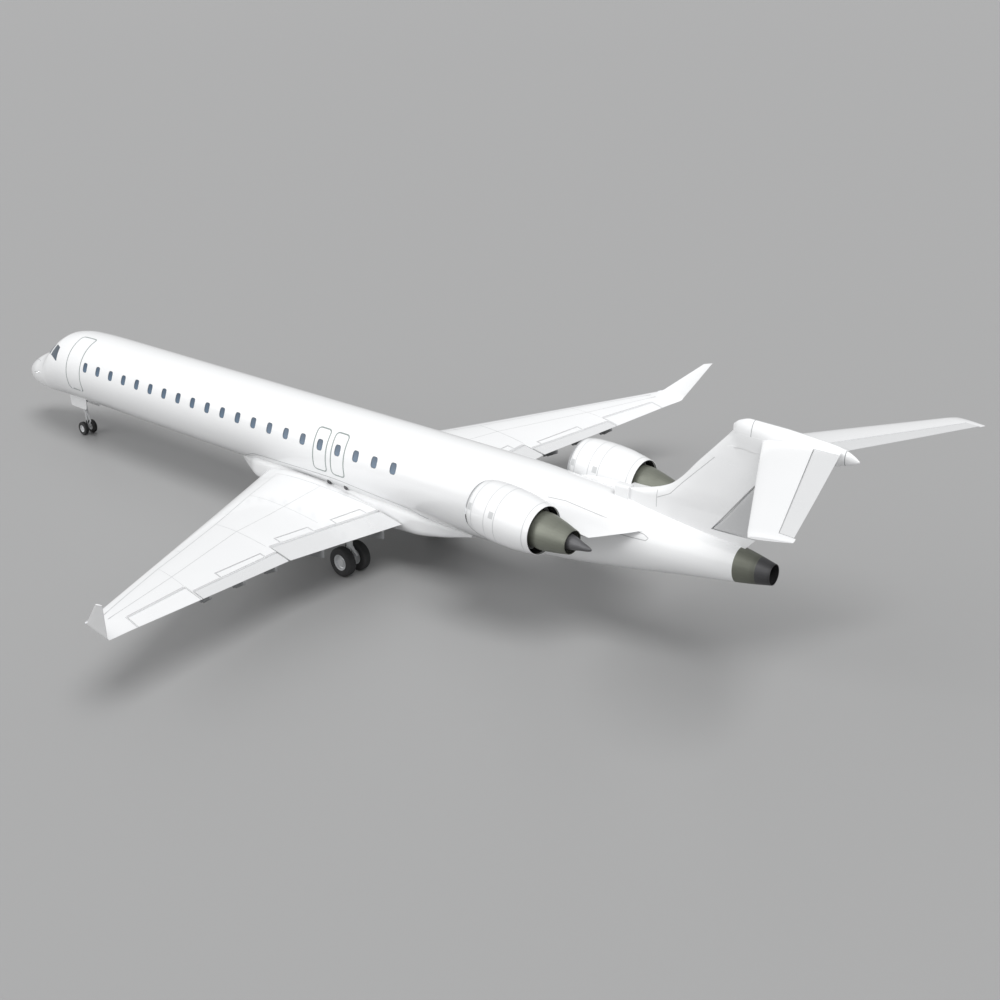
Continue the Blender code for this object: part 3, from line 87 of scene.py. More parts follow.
def place(station: Reals, side: Reals, height: Reals) -> np.ndarray:
    """Turn stations, sides and heights into points of the part's frame.

    Args:
        station: distances aft from the nose tip.
        side: distances to the left of the plane of symmetry.
        height: heights above the body's centreline.

    Returns:
        An array of points whose last axis is x, y, z.
    """
    station, side, height = np.broadcast_arrays(station, side, height)
    return np.stack([side, station - LENGTH / 2, height + CENTRE_HEIGHT], axis=-1).astype(float)


def unit(vectors: Reals) -> np.ndarray:
    """Scale vectors to a length of one."""
    vectors = np.asarray(vectors, dtype=float)
    return vectors / np.maximum(np.linalg.norm(vectors, axis=-1, keepdims=True), 1e-9)


def lengths(points: np.ndarray) -> np.ndarray:
    """Add up the lengths along a line of points."""
    return np.concatenate([[0.0], np.cumsum(np.linalg.norm(np.diff(points, axis=0), axis=1))])


def superellipse(count: int, power: float) -> tuple[np.ndarray, np.ndarray]:
    """Go round a superellipse: the cosine and the sine, raised to two over the power, with their signs kept."""
    angle = np.linspace(0.0, math.tau, count, endpoint=False)
    across, up = np.cos(angle), np.sin(angle)
    return np.sign(across) * np.abs(across) ** (2 / power), np.sign(up) * np.abs(up) ** (2 / power)


class CubicTable:
    """Columns of a table, read with a cubic that keeps each column's rises and falls."""

    def __init__(self, rows: Rows) -> None:
        """Work out the tangents: the harmonic mean of the slopes on both sides, or level at a turn."""
        data = np.array(rows, dtype=float)
        self.places = data[:, 0]
        self.columns = data[:, 1:]
        self.steps = np.diff(self.places)[:, None]
        slopes = np.diff(self.columns, axis=0) / self.steps
        self.tangents = np.zeros_like(self.columns)
        self.tangents[0], self.tangents[-1] = slopes[0], slopes[-1]
        product = slopes[:-1] * slopes[1:]
        total = np.where(product > 0, slopes[:-1] + slopes[1:], 1.0)
        self.tangents[1:-1] = np.where(product > 0, 2 * product / total, 0.0)

    def read(self, places: Reals) -> np.ndarray:
        """Read every column at the given places.

        Args:
            places: a number or an array of places along the table.

        Returns:
            An array with the columns on its last axis.
        """
        places = np.asarray(places, dtype=float)
        index = np.clip(np.searchsorted(self.places, places) - 1, 0, len(self.steps) - 1)
        step = self.steps[index]
        share = (places - self.places[index])[..., None] / step
        low, high = self.columns[index], self.columns[index + 1]
        start, finish = self.tangents[index] * step, self.tangents[index + 1] * step
        rise = high - low
        bend = share * (1 - share) * ((1 - share) * (start - rise) + share * (rise - finish))
        return low + rise * share + bend


BODY = CubicTable((
    (0.00, -0.82, 0.02, 0.02), (0.15, -0.83, 0.27, 0.22), (0.60, -0.78, 0.60, 0.47),
    (1.30, -0.665, 0.90, 0.685),
    (1.90, -0.565, 1.07, 0.79), (2.35, -0.445, 1.17, 0.905), (2.60, -0.315, 1.21, 1.035),
    (2.90, -0.19, 1.25, 1.15),
    (3.40, -0.075, 1.285, 1.26), (4.20, -0.02, 1.315, 1.31),
    (5.50, 0.00, BODY_RADIUS, BODY_RADIUS), (23.50, 0.00, BODY_RADIUS, BODY_RADIUS),
    (25.50, 0.03, 1.28, 1.29),
    (27.50, 0.10, 1.10, 1.16), (29.50, 0.19, 0.86, 0.95), (31.50, 0.25, 0.58, 0.65),
    (33.00, 0.27, 0.36, 0.42),
    (33.66, 0.27, 0.24, 0.28),
))


def body_oval(station: Reals) -> np.ndarray:
    """Read the body's centre height, half width and half height; the tip is rounded as a square root."""
    station = np.asarray(station, dtype=float)
    oval = BODY.read(np.maximum(station, TIP_LENGTH))
    grow = np.sqrt(np.clip(station / TIP_LENGTH, 0.0, 1.0))
    centre = BODY.read(station)[..., 0]
    return np.stack([centre, oval[..., 1] * grow, oval[..., 2] * grow], axis=-1)


def body_skin(station: Reals, degrees: Reals, outwards: Reals = 0.0) -> np.ndarray:
    """Find points of the body: an ellipse across each station, at angles up from the left horizontal."""
    oval = body_oval(station)
    angle = np.radians(degrees)
    side = (oval[..., 1] + outwards) * np.cos(angle)
    height = oval[..., 0] + (oval[..., 2] + outwards) * np.sin(angle)
    return place(station, side, height)


def body_degrees(rows: np.ndarray) -> np.ndarray:
    """Find the angles round the body of rows of station, side and height."""
    oval = body_oval(rows[:, 0])
    return np.degrees(np.arctan2((rows[:, 2] - oval[:, 0]) / oval[:, 2], rows[:, 1] / oval[:, 1]))


def body_normal(points: np.ndarray) -> np.ndarray:
    """Find the outward direction of the body's ellipse at points: the gradient of its formula.

    Args:
        points: points on the body or close to it.

    Returns:
        A direction for each point.
    """
    station, level, step = points[:, 1] + LENGTH / 2, points[:, 2] - CENTRE_HEIGHT, 0.01

    def formula(places: np.ndarray) -> np.ndarray:
        """Give one on the skin, more outside and less inside."""
        oval = BODY.read(np.clip(places, 0.0, BODY_END))
        return (points[:, 0] / oval[:, 1]) ** 2 + ((level - oval[:, 0]) / oval[:, 2]) ** 2

    oval = BODY.read(np.clip(station, 0.0, BODY_END))
    along = (formula(station + step) - formula(station - step)) / (2 * step)
    across, up = 2 * points[:, 0] / oval[:, 1] ** 2, 2 * (level - oval[:, 0]) / oval[:, 2] ** 2
    return unit(np.stack([across, along, up], axis=-1))


@dataclass
class Solid:
    """Vertices and faces on the way to a mesh."""

    points: np.ndarray
    faces: list[tuple]

    @classmethod
    def from_rings(cls, rings: Sequence[np.ndarray], capped: bool = True, loop: bool = False) -> "Solid":
        """Skin rings of equal length: quads between neighbours, and a flat face on each end.

        Args:
            rings: the rings, each an array of points.
            capped: whether the two end rings are closed.
            loop: whether the last ring joins the first.

        Returns:
            The skinned solid.
        """
        rings = np.asarray(rings, dtype=float)
        count, around = rings.shape[:2]
        numbers = np.arange(count * around).reshape(count, around)
        near = numbers if loop else numbers[:-1]
        far = np.roll(numbers, -1, axis=0) if loop else numbers[1:]
        quads = np.stack([near, np.roll(near, -1, 1), np.roll(far, -1, 1), far], axis=-1).reshape(-1, 4)
        faces = [tuple(quad) for quad in quads.tolist()]
        if capped and not loop:
            faces += [tuple(numbers[0][::-1].tolist()), tuple(numbers[-1].tolist())]
        return cls(rings.reshape(-1, 3), faces)

    @classmethod
    def joined(cls, solids: Iterable["Solid"]) -> "Solid":
        """Put several solids into one, each with its own vertices."""
        points: list[np.ndarray] = []
        faces: list[tuple] = []
        start = 0
        for solid in solids:
            points.append(solid.points)
            faces += [tuple(number + start for number in face) for face in solid.faces]
            start += len(solid.points)
        return cls(np.concatenate(points), faces)

    def mesh(self, name: str) -> bpy.types.Mesh:
        """Make a mesh with closed poles and outward faces."""
        mesh = bpy.data.meshes.new(name)
        mesh.from_pydata(self.points.tolist(), [], self.faces)
        shape = bmesh.new()
        shape.from_mesh(mesh)
        bmesh.ops.remove_doubles(shape, verts=shape.verts, dist=1e-5)
        bmesh.ops.dissolve_degenerate(shape, edges=shape.edges, dist=1e-6)
        bmesh.ops.recalc_face_normals(shape, faces=shape.faces)
        shape.to_mesh(mesh)
        shape.free()
        return mesh


def frame_along(direction: Reals) -> tuple[np.ndarray, np.ndarray, np.ndarray]:
    """Find three square directions, the last one along the given one."""
    along = unit(direction)
    across = unit(np.cross((1.0, 0.0, 0.0) if abs(along[0]) < 0.9 else (0.0, 1.0, 0.0), along))
    return across, np.cross(along, across), along


def turned(profile: Rows, start: Reals, direction: Reals, segments: int = 96, loop: bool = False) -> Solid:
    """Turn a profile of distance and radius about an axis: each point runs round a circle.

    Args:
        profile: rows of distance along the axis and radius.
        start: the point of the axis where the distance is nought.
        direction: the axis.
        segments: the number of steps round.
        loop: whether the profile closes on itself.

    Returns:
        The turned solid.
    """
    rows = np.array(profile, dtype=float)
    first, second, along = frame_along(direction)
    angle = np.linspace(0.0, math.tau, segments, endpoint=False)
    circle = np.cos(angle)[:, None] * first + np.sin(angle)[:, None] * second
    rings = np.asarray(start) + rows[:, 0][:, None, None] * along + rows[:, 1][:, None, None] * circle
    return Solid.from_rings(rings, capped=not loop, loop=loop)


def rounded(rows: Rows, count: int) -> np.ndarray:
    """Run a smooth curve through a profile, by the length along it, with no overshoot."""
    data = np.array(rows, dtype=float)
    length = lengths(data)
    places = np.union1d(np.linspace(0.0, length[-1], count), length)
    return CubicTable(np.column_stack([length, data])).read(places)


def rounded_path(points: np.ndarray, count: int) -> np.ndarray:
    """Run a smooth curve through points, in equal steps of the length along them."""
    length = lengths(points)
    return CubicTable(np.column_stack([length, points])).read(np.linspace(0.0, length[-1], count))


def rod(start: Reals, end: Reals, radius: float, segments: int = 24) -> Solid:
    """Make a round rod with slightly softened ends between two points."""
    start, end = np.asarray(start, dtype=float), np.asarray(end, dtype=float)
    length = float(np.linalg.norm(end - start))
    soft = min(0.12 * radius, 0.2 * length)
    profile = ((0.0, 0.0), (0.0, radius - soft), (soft, radius), (length - soft, radius),
               (length, radius - soft),
               (length, 0.0))
    return turned(profile, start, end - start, segments)


def pin(centre: np.ndarray, reach: Sequence[float], radius: float, segments: int = 24) -> Solid:
    """Make a rod that reaches equally far to both sides of a centre."""
    return rod(centre - np.array(reach), centre + np.array(reach), radius, segments)


def hinge_pins(start: np.ndarray, end: np.ndarray, radius: float, reach: float) -> list[Solid]:
    """Make a pin at each end of a hinge line, from inside the surface to a reach outside it."""
    along = unit(end - start)
    return [rod(near - out * 0.06, near + out * reach, radius) for near,
            out in ((start, -along), (end, along))]


def box_ring(middle: np.ndarray, wide: np.ndarray, rise: np.ndarray) -> np.ndarray:
    """Draw a rectangle round a middle from its half width and half height."""
    return np.array([middle - wide - rise, middle + wide - rise, middle + wide + rise, middle - wide + rise])


def block(low: Sequence[float], high: Sequence[float]) -> Solid:
    """Make a box between two corners, each given as station, side and height."""
    near, far = np.sort([place(*low), place(*high)], axis=0)
    square = np.array([(0, 0, 0), (1, 0, 0), (1, 1, 0), (0, 1, 0)])
    return Solid.from_rings([near + (far - near) * (square + [0, 0, level]) for level in (0, 1)])


def tube(path: np.ndarray, radius: float, segments: int = 10) -> Solid:
    """Carry a circle along a path, square to it at every point."""
    tangents = unit(np.gradient(path, axis=0))
    across = unit(np.cross(tangents, (0.31, 0.17, 0.93)))
    third = np.cross(tangents, across)
    angle = np.linspace(0.0, math.tau, segments, endpoint=False)[:, None]
    rings = path[:, None] + radius * (np.cos(angle) * across[:, None] + np.sin(angle) * third[:, None])
    return Solid.from_rings(rings)


def strip(points: np.ndarray, normals: np.ndarray, width: float, loop: bool = False) -> Solid:
    """Lay a thin domed strip on a surface: a flat lens carried along a line of points.

    Args:
        points: the line on the surface.
        normals: the surface's outward directions along the line.
        width: the strip's width.
        loop: whether the line closes on itself.

    Returns:
        The strip as a closed solid.
    """
    tangents = np.roll(points, -1, 0) - np.roll(points, 1, 0) if loop else np.gradient(points, axis=0)
    across = unit(np.cross(normals, tangents))
    corners = ((-0.5, -1.0), (-0.42, 0.6), (0.0, 1.0), (0.42, 0.6), (0.5, -1.0))
    rings = np.stack([points + across * width * u + normals * PROUD * v for u, v in corners], axis=1)
    return Solid.from_rings(rings, capped=not loop, loop=loop)


class Value:
    """A number socket in a material's maths; the operators add Math nodes."""

    def __init__(self, graph: "Graph", socket: bpy.types.NodeSocket) -> None:
        """Keep the graph and the socket."""
        self.graph = graph
        self.socket = socket

    def __add__(self, other: "Value | float") -> "Value":
        """Add."""
        return self.graph.math("ADD", self, other)

    __radd__ = __add__

    def __mul__(self, other: "Value | float") -> "Value":
        """Multiply."""
        return self.graph.math("MULTIPLY", self, other)

    __rmul__ = __mul__

    def __sub__(self, other: "Value | float") -> "Value":
        """Take away."""
        return self.graph.math("SUBTRACT", self, other)

    def __rsub__(self, other: "Value | float") -> "Value":
        """Take this away from a number."""
        return self.graph.math("SUBTRACT", other, self)

    def __truediv__(self, other: "Value | float") -> "Value":
        """Divide."""
        return self.graph.math("DIVIDE", self, other)

    def clamp(self) -> "Value":
        """Keep the value between nought and one."""
        return self.graph.math("MAXIMUM", self.graph.math("MINIMUM", self, 1.0), 0.0)

    def step(self, edge: float, softness: float) -> "Value":
        """Rise from nought to one over a short stretch that starts at an edge."""
        return ((self - edge) / softness).clamp()

    def near(self, centre: float, width: float) -> "Value":
        """Give one close to a centre and fall to nought at a distance."""
        return (1.0 - self.graph.math("ABSOLUTE", self - centre, 0.0) / width).clamp()


class Graph:
    """A material's nodes, made through one method."""

    def __init__(self, name: str) -> None:
        """Start a material with its Principled shader."""
        self.material = bpy.data.materials.new(name)
        self.material.use_nodes = True
        self.tree = self.material.node_tree
        self.shader = self.tree.nodes["Principled BSDF"]
        self.coords = self.node("ShaderNodeTexCoord").outputs["Object"]
        split = self.node("ShaderNodeSeparateXYZ", {}, {"Vector": self.coords})
        self.side, self.aft, self.up = (Value(self, split.outputs[axis]) for axis in "XYZ")

    def node(self, kind: str, settings: dict | None = None, inputs: dict | None = None) -> bpy.types.Node:
        """Add a node, with its settings first and then its sockets.

        Args:
            kind: the node's type.
            settings: properties of the node.
            inputs: values, sockets or Value objects for its inputs.

        Returns:
            The new node.
        """
        node = self.tree.nodes.new(kind)
        for key, setting in (settings or {}).items():
            setattr(node, key, setting)
        for key, given in (inputs or {}).items():
            self.feed(node.inputs[key], given)
        return node

    def feed(self, socket: bpy.types.NodeSocket,
             given: "Value | bpy.types.NodeSocket | float | tuple") -> None:
        """Link a socket, or set its plain value."""
        if isinstance(given, Value):
            given = given.socket
        if isinstance(given, bpy.types.NodeSocket):
            self.tree.links.new(given, socket)
        else:
            socket.default_value = given

    def math(self, operation: str, first: Value | float, second: Value | float) -> Value:
        """Add a Math node."""
        node = self.node("ShaderNodeMath", {"operation": operation}, {0: first, 1: second})
        return Value(self, node.outputs[0])

    def noise(self, scale: float, detail: float = 3.0, stretch: Sequence[float] = (1.0, 1.0, 1.0)) -> Value:
        """Read a noise texture in the part's own coordinates, stretched along the axes."""
        mapping = self.node("ShaderNodeMapping", {}, {"Vector": self.coords, "Scale": tuple(stretch)})
        inputs = {"Vector": mapping.outputs[0], "Scale": scale, "Detail": detail, "Roughness": 0.55}
        return Value(self, self.node("ShaderNodeTexNoise", {}, inputs).outputs[0])

    def mix(self, factor: Value, first: tuple, second: tuple) -> bpy.types.NodeSocket:
        """Mix two colours by a factor."""
        node = self.node("ShaderNodeMix", {"data_type": "RGBA"}, {"Factor": factor})
        for socket, colour in zip((node.inputs[6], node.inputs[7]), (first, second)):
            socket.default_value = (*colour, 1.0)
        return node.outputs[2]

    def bump(self, height: Value, strength: float, distance: float) -> None:
        """Raise the surface by a pattern."""
        node = self.node("ShaderNodeBump", {}, {"Height": height, "Strength": strength, "Distance": distance})
        self.tree.links.new(node.outputs[0], self.shader.inputs["Normal"])


@dataclass(frozen=True)
class Finish:
    """A finish: its tones, gloss, and the scale and strength of its variation."""

    name: str
    slot: str
    light: tuple[float, float, float]
    dark: tuple[float, float, float]
    roughness: float
    metallic: float = 0.0
    coat: float = 0.0
    grain: float = 60.0
    patches: float = 1.2
    wear: float = 0.5
    bump: float = 0.0
    stretch: tuple[float, float, float] = (1.0, 1.0, 1.0)

    def build(self, graph: Graph) -> None:
        """Mix the two tones by broad and fine noise, and vary the gloss with them."""
        broad = graph.noise(self.patches, 4.0, self.stretch)
        fine = graph.noise(self.grain, 2.0, self.stretch)
        tone = ((broad - 0.42) * 2.2).clamp() * self.wear + (fine - 0.5) * 0.12 * self.wear
        graph.feed(graph.shader.inputs["Base Color"], graph.mix(tone.clamp(), self.light, self.dark))
        gloss = self.roughness + (broad - 0.5) * 0.16 + (fine - 0.5) * 0.06
        graph.feed(graph.shader.inputs["Roughness"], gloss.clamp())
        if self.bump:
            graph.bump(fine, 0.35, self.bump)

    def material(self, name: str) -> bpy.types.Material:
        """Make a piece's own material."""
        graph = Graph(name)
        graph.shader.inputs["Metallic"].default_value = self.metallic
        graph.shader.inputs["Coat Weight"].default_value = self.coat
        graph.shader.inputs["Coat Roughness"].default_value = 0.06
        self.build(graph)
        return graph.material


@dataclass(frozen=True)
class CowlFinish(Finish):
    """Bare cowl metal that darkens towards the nozzle, with heat bands round it."""

    start: float = 28.0
    end: float = 29.2

    def build(self, graph: Graph) -> None:
        """Blend the tones along the station, with streaks along the flow."""
        station = graph.aft + LENGTH / 2
        heat = station.step(self.start, self.end - self.start)
        streak = graph.noise(5.0, 4.0, (4.0, 0.35, 4.0))
        band = station.near(self.end - 0.05, 0.10)
        tone = (heat * 0.55 + (streak - 0.5) * 0.5 + band * 0.4).clamp()
        graph.feed(graph.shader.inputs["Base Color"], graph.mix(tone, self.light, self.dark))
        graph.feed(graph.shader.inputs["Roughness"], (self.roughness + (streak - 0.5) * 0.2).clamp())
        graph.bump(graph.noise(40.0, 2.0), 0.15, 0.002)


@dataclass(frozen=True)
class PaneFinish(Finish):
    """Cabin glass seen from outside: darker at the top, where the frame shades it."""

    low: float = 0.28
    high: float = 0.66

    def build(self, graph: Graph) -> None:
        """Blend the tones up the pane, with a faint mottling."""
        shade = (graph.up - CENTRE_HEIGHT).step(self.low, self.high - self.low)
        cloud = graph.noise(3.0, 2.0)
        tone = (shade * 0.8 + (cloud - 0.5) * 0.3).clamp()
        graph.feed(graph.shader.inputs["Base Color"], graph.mix(tone, self.light, self.dark))
        graph.feed(graph.shader.inputs["Roughness"], (self.roughness + (cloud - 0.5) * 0.04).clamp())


class Paints:
    """The aircraft's finishes."""

    WHITE = Finish("white_paint", "white_paint", (0.86, 0.865, 0.87), (0.79, 0.80, 0.805), 0.24, coat=0.5,
                   wear=0.35, patches=0.5, stretch=(1.0, 0.25, 1.0))
    GREY = Finish("grey_paint", "white_paint", (0.50, 0.51, 0.52), (0.42, 0.43, 0.44), 0.36)
    # Painted shade: flaps and elevators get a greyer white than the wing, standing in for the shade on their
    # surfaces.
    FLAP = Finish("flap_paint", "white_paint", (0.70, 0.705, 0.71), (0.65, 0.655, 0.66), 0.26, coat=0.4,
                  patches=0.5)
    # The rudder is a mid grey, darker than the fin's white.
    RUDDER = Finish("rudder_paint", "white_paint", (0.54, 0.545, 0.55), (0.49, 0.495, 0.50), 0.30, coat=0.3,
                    patches=0.5)
    TRACK = Finish("track_grey", "white_paint", (0.215, 0.220, 0.225), (0.165, 0.168, 0.172), 0.42)
    PORT = Finish("port_grey", "white_paint", (0.10, 0.10, 0.105), (0.06, 0.06, 0.065), 0.45)
    SEAM = Finish("seam_grey", "white_paint", (0.33, 0.34, 0.345), (0.26, 0.27, 0.275), 0.5, grain=25.0)
    # Soft grey for real panel seams, and for the painted shade strips in front of the wing's gaps.
    SOFT_SEAM_AND_SHADE = Finish("soft_seam_and_shade", "white_paint", (0.50, 0.505, 0.51), (0.43, 0.435, 0.44), 0.5, grain=25.0)
    FAINT_SEAM = Finish("faint_seam", "white_paint", (0.60, 0.61, 0.615), (0.53, 0.54, 0.545), 0.5,
                        grain=25.0)
    OUTLINE = Finish("outline_grey_green", "white_paint", (0.26, 0.30, 0.29), (0.21, 0.25, 0.24), 0.45)
    LIP = Finish("lip_metal", "fan_metal", (0.86, 0.87, 0.88), (0.74, 0.75, 0.77), 0.16, 1.0, grain=90.0)
    LINER = Finish("liner_grey", "fan_metal", (0.36, 0.37, 0.38), (0.28, 0.29, 0.30), 0.45, 0.4, bump=0.001,
                   grain=220.0)
    BLADE = Finish("blade_metal", "fan_metal", (0.46, 0.47, 0.49), (0.32, 0.33, 0.35), 0.28, 0.95)
    SPINNER = Finish("spinner_grey", "fan_metal", (0.60, 0.61, 0.62), (0.50, 0.51, 0.52), 0.32)
    COWL = CowlFinish("core_cowl", "core_metal", (0.235, 0.245, 0.205), (0.150, 0.156, 0.132), 0.42, 0.55)
    NOZZLE = CowlFinish("nozzle_metal", "dark_metal", (0.165, 0.165, 0.170), (0.075, 0.075, 0.078), 0.45, 0.6,
                        start=28.9, end=29.8)
    # Black for the sooty exhaust throats, and painted shade deep inside the intake and the fan duct.
    SOOT = Finish("soot_black", "dark_metal", (0.018, 0.018, 0.019), (0.008, 0.008, 0.009), 0.75)
    TAIL_METAL = CowlFinish("tail_metal", "bare_metal", (0.165, 0.172, 0.142), (0.110, 0.115, 0.095), 0.45,
                            0.5,
                            start=32.7, end=33.28)
    PIPE = CowlFinish("pipe_metal", "dark_metal", (0.085, 0.085, 0.088), (0.050, 0.050, 0.052), 0.42, 0.7,
                      start=33.2, end=33.7)
    PANE = PaneFinish("cabin_pane", "cockpit_glass", (0.100, 0.160, 0.235), (0.035, 0.058, 0.092), 0.16,
                      coat=0.4)
    COCKPIT = PaneFinish("cockpit_pane", "cockpit_glass", (0.075, 0.105, 0.140), (0.020, 0.028, 0.040), 0.08,
                         coat=0.6, low=0.3, high=1.1)
    SEAL = Finish("window_seal", "cockpit_glass", (0.10, 0.12, 0.14), (0.06, 0.07, 0.08), 0.6)
    GEAR = Finish("gear_paint", "gear_paint", (0.70, 0.71, 0.72), (0.52, 0.53, 0.54), 0.34, coat=0.2,
                  patches=4.0)
    CHROME = Finish("piston_chrome", "gear_paint", (0.80, 0.81, 0.82), (0.70, 0.71, 0.73), 0.10, 1.0)
    BLACK = Finish("pipe_black", "gear_paint", (0.05, 0.05, 0.05), (0.03, 0.03, 0.03), 0.55)
    RUBBER = Finish("tyre_rubber", "tyre_rubber", (0.040, 0.040, 0.041), (0.022, 0.022, 0.023), 0.78,
                    grain=150.0,
                    bump=0.002, wear=0.8)
    RIM = Finish("rim_metal", "tyre_rubber", (0.72, 0.73, 0.74), (0.56, 0.57, 0.58), 0.30, 0.3, patches=6.0)
    DOORWAY = Finish("doorway_grey", "white_paint", (0.20, 0.21, 0.22), (0.13, 0.14, 0.15), 0.6, patches=3.0)
    LINING = Finish("bay_lining", "white_paint", (0.46, 0.50, 0.42), (0.34, 0.38, 0.31), 0.5, patches=3.0)
    LAMP = Finish("lamp_glass", "cockpit_glass", (0.85, 0.87, 0.90), (0.75, 0.77, 0.80), 0.05, coat=1.0)
    RED = Finish("red_lamp", "cockpit_glass", (0.55, 0.03, 0.02), (0.40, 0.02, 0.02), 0.1, coat=1.0)


class Workshop:
    """Makes pieces, shades them, and rides them on the part's bodies."""

    def __init__(self) -> None:
        """Start with no pieces."""
        self.count = 0

    def loose(self, name: str, solid: Solid) -> bpy.types.Object:
        """Make an object that isn't dressed yet."""
        item = bpy.data.objects.new(name, solid.mesh(name))
        bpy.context.scene.collection.objects.link(item)
        return item

    def carve(self, item: bpy.types.Object, tool: Solid) -> None:
        """Cut a tool's shape out of an object, and keep the result as its mesh."""
        cutter = self.loose(f"{item.name}_tool", tool)
        step = item.modifiers.new("carved", "BOOLEAN")
        step.object, step.operation, step.solver = cutter, "DIFFERENCE", "EXACT"
        bpy.context.view_layer.update()
        carved = bpy.data.meshes.new_from_object(item.evaluated_get(bpy.context.evaluated_depsgraph_get()))
        item.modifiers.clear()
        item.data = carved
        bpy.data.objects.remove(cutter, do_unlink=True)

    def shade(self, item: bpy.types.Object, degrees: float) -> None:
        """Shade smooth, with a crease where faces meet at more than an angle."""
        mesh = item.data
        mesh.polygons.foreach_set("use_smooth", np.ones(len(mesh.polygons), dtype=bool))
        mesh.set_sharp_from_angle(angle=math.radians(degrees))
        mesh.update()

    def follow(self, item: bpy.types.Object, formula: Callable[[np.ndarray], np.ndarray]) -> None:
        """Give the skin its exact normals, wherever a face lies along the formula's surface.

        Args:
            item: the piece, already shaded.
            formula: gives the surface's outward direction at points.
        """
        mesh = item.data

        def read(source: bpy.types.bpy_prop_collection, key: str, size: int,
                 kind: type = float) -> np.ndarray:
            """Read a number or a vector of every item."""
            values = np.empty(len(source) * size, dtype=kind)
            source.foreach_get(key, values)
            return values.reshape(-1, size)

        normals = read(mesh.corner_normals, "vector", 3)
        corners = read(mesh.loops, "vertex_index", 1, int)[:, 0]
        totals = read(mesh.polygons, "loop_total", 1, int)[:, 0]
        faces = np.repeat(read(mesh.polygons, "normal", 3), totals, axis=0)
        exact = formula(read(mesh.vertices, "co", 3)[corners])
        close = (exact * faces).sum(axis=1) > 0.985
        normals[close] = exact[close]
        mesh.normals_split_custom_set(normals.tolist())

    def make(self, name: str, solid: Solid | list[Solid], finish: Finish, *nodes: str, body: str = "airframe",
             crease: float = 32.0, formula: Callable[[np.ndarray], np.ndarray] | None = None,
             cuts: Sequence[Solid] = ()) -> None:
        """Make a piece: cut it, shade it, give it its finish, and ride it on a body.

        Args:
            name: the piece's name.
            solid: its shape, or the shapes that make it up.
            finish: its finish.
            nodes: the nodes that it stands for.
            body: the body that it rides on.
            crease: the angle between faces, in degrees, past which an edge is sharp.
            formula: gives the skin's outward direction, where the exact one is wanted.
            cuts: the shapes cut out of it.
        """
        item = self.loose(name, Solid.joined(solid) if isinstance(solid, list) else solid)
        for tool in cuts:
            self.carve(item, tool)
        self.shade(item, crease)
        if formula:
            self.follow(item, formula)
        item.data.materials.clear()
        item.data.materials.append(finish.material(f"{name}_{finish.name}"))
        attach(item, body)
        if nodes:
            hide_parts(*nodes)
        self.count += 1
        LOG.info("piece %s rides on %s", name, body)


def panel_rows(front: float, back: float, low: float, high: float, corner: float,
               count: int = 12) -> np.ndarray:
    """Lay out a body panel with quarter-circle corners: rows of angle, front station and back station."""
    reach = math.degrees(corner / BODY_RADIUS)
    shares = 1 - np.cos(np.linspace(0.0, math.pi / 2, 7))
    insets = corner * (1 - np.sqrt(np.clip(1 - (1 - shares) ** 2, 0.0, 1.0)))
    lower, upper = (np.column_stack([edge, front + insets, back - insets])
                    for edge in (low + reach * shares, high - reach * shares))
    middle = np.linspace(low + reach, high - reach, count + 2)[1:-1]
    straight = np.column_stack([middle, np.full(count, front), np.full(count, back)])
    return np.concatenate([lower, straight, upper[::-1]])


def panel(rows: np.ndarray, inner: float, outer: float, grow: float = 0.0, across: int = 9) -> Solid:
    """Make a curved plate of the body: each row runs forward to back outside and returns inside.

    Args:
        rows: angle, front station and back station.
        inner: the inner face's distance from the skin, outwards.
        outer: the outer face's distance from the skin, outwards.
        grow: how far the plate's edges move out.
        across: the number of points from front to back.

    Returns:
        The plate.
    """
    rows = rows.copy()
    reach = math.degrees(grow / BODY_RADIUS)
    rows[0, 0] -= reach
    rows[-1, 0] += reach
    share = np.linspace(0.0, 1.0, across)
    stations = (rows[:, 1:2] - grow) + (rows[:, 2:3] - rows[:, 1:2] + 2 * grow) * share
    degrees = np.repeat(rows[:, :1], across, axis=1)
    top = body_skin(stations, degrees, outer)
    under = body_skin(stations, degrees, inner)[:, ::-1]
    return Solid.from_rings(np.concatenate([top, under], axis=1))


def panel_outline(rows: np.ndarray) -> tuple[np.ndarray, np.ndarray]:
    """Follow a panel's edge round, as stations and angles."""
    low, high = rows[0], rows[-1]
    ends = np.linspace(0.1, 0.9, 6)
    stations = np.concatenate([
        rows[:, 1], high[1] + (high[2] - high[1]) * ends, rows[::-1, 2], low[2] + (low[1] - low[2]) * ends,
    ])
    degrees = np.concatenate([rows[:, 0], np.full(6, high[0]), rows[::-1, 0], np.full(6, low[0])])
    return stations, degrees


def body_strip(stations: np.ndarray, degrees: np.ndarray, width: float, loop: bool = False) -> Solid:
    """Lay a strip on the body along stations and angles, with points closer than the skin's curve needs."""
    if loop:
        stations, degrees = np.append(stations, stations[0]), np.append(degrees, degrees[0])
    steps = np.hypot(np.diff(stations), np.radians(np.diff(degrees)) * BODY_RADIUS)
    length = np.concatenate([[0.0], np.cumsum(steps)])
    length += np.arange(len(length)) * 1e-9
    count = max(8, int(length[-1] / 0.05))
    places = np.linspace(0.0, length[-1], count + 1)
    if loop:
        places = places[:-1]
    stations, degrees = np.interp(places, length, stations), np.interp(places, length, degrees)
    points = body_skin(stations, degrees)
    return strip(points, body_normal(points), width, loop)


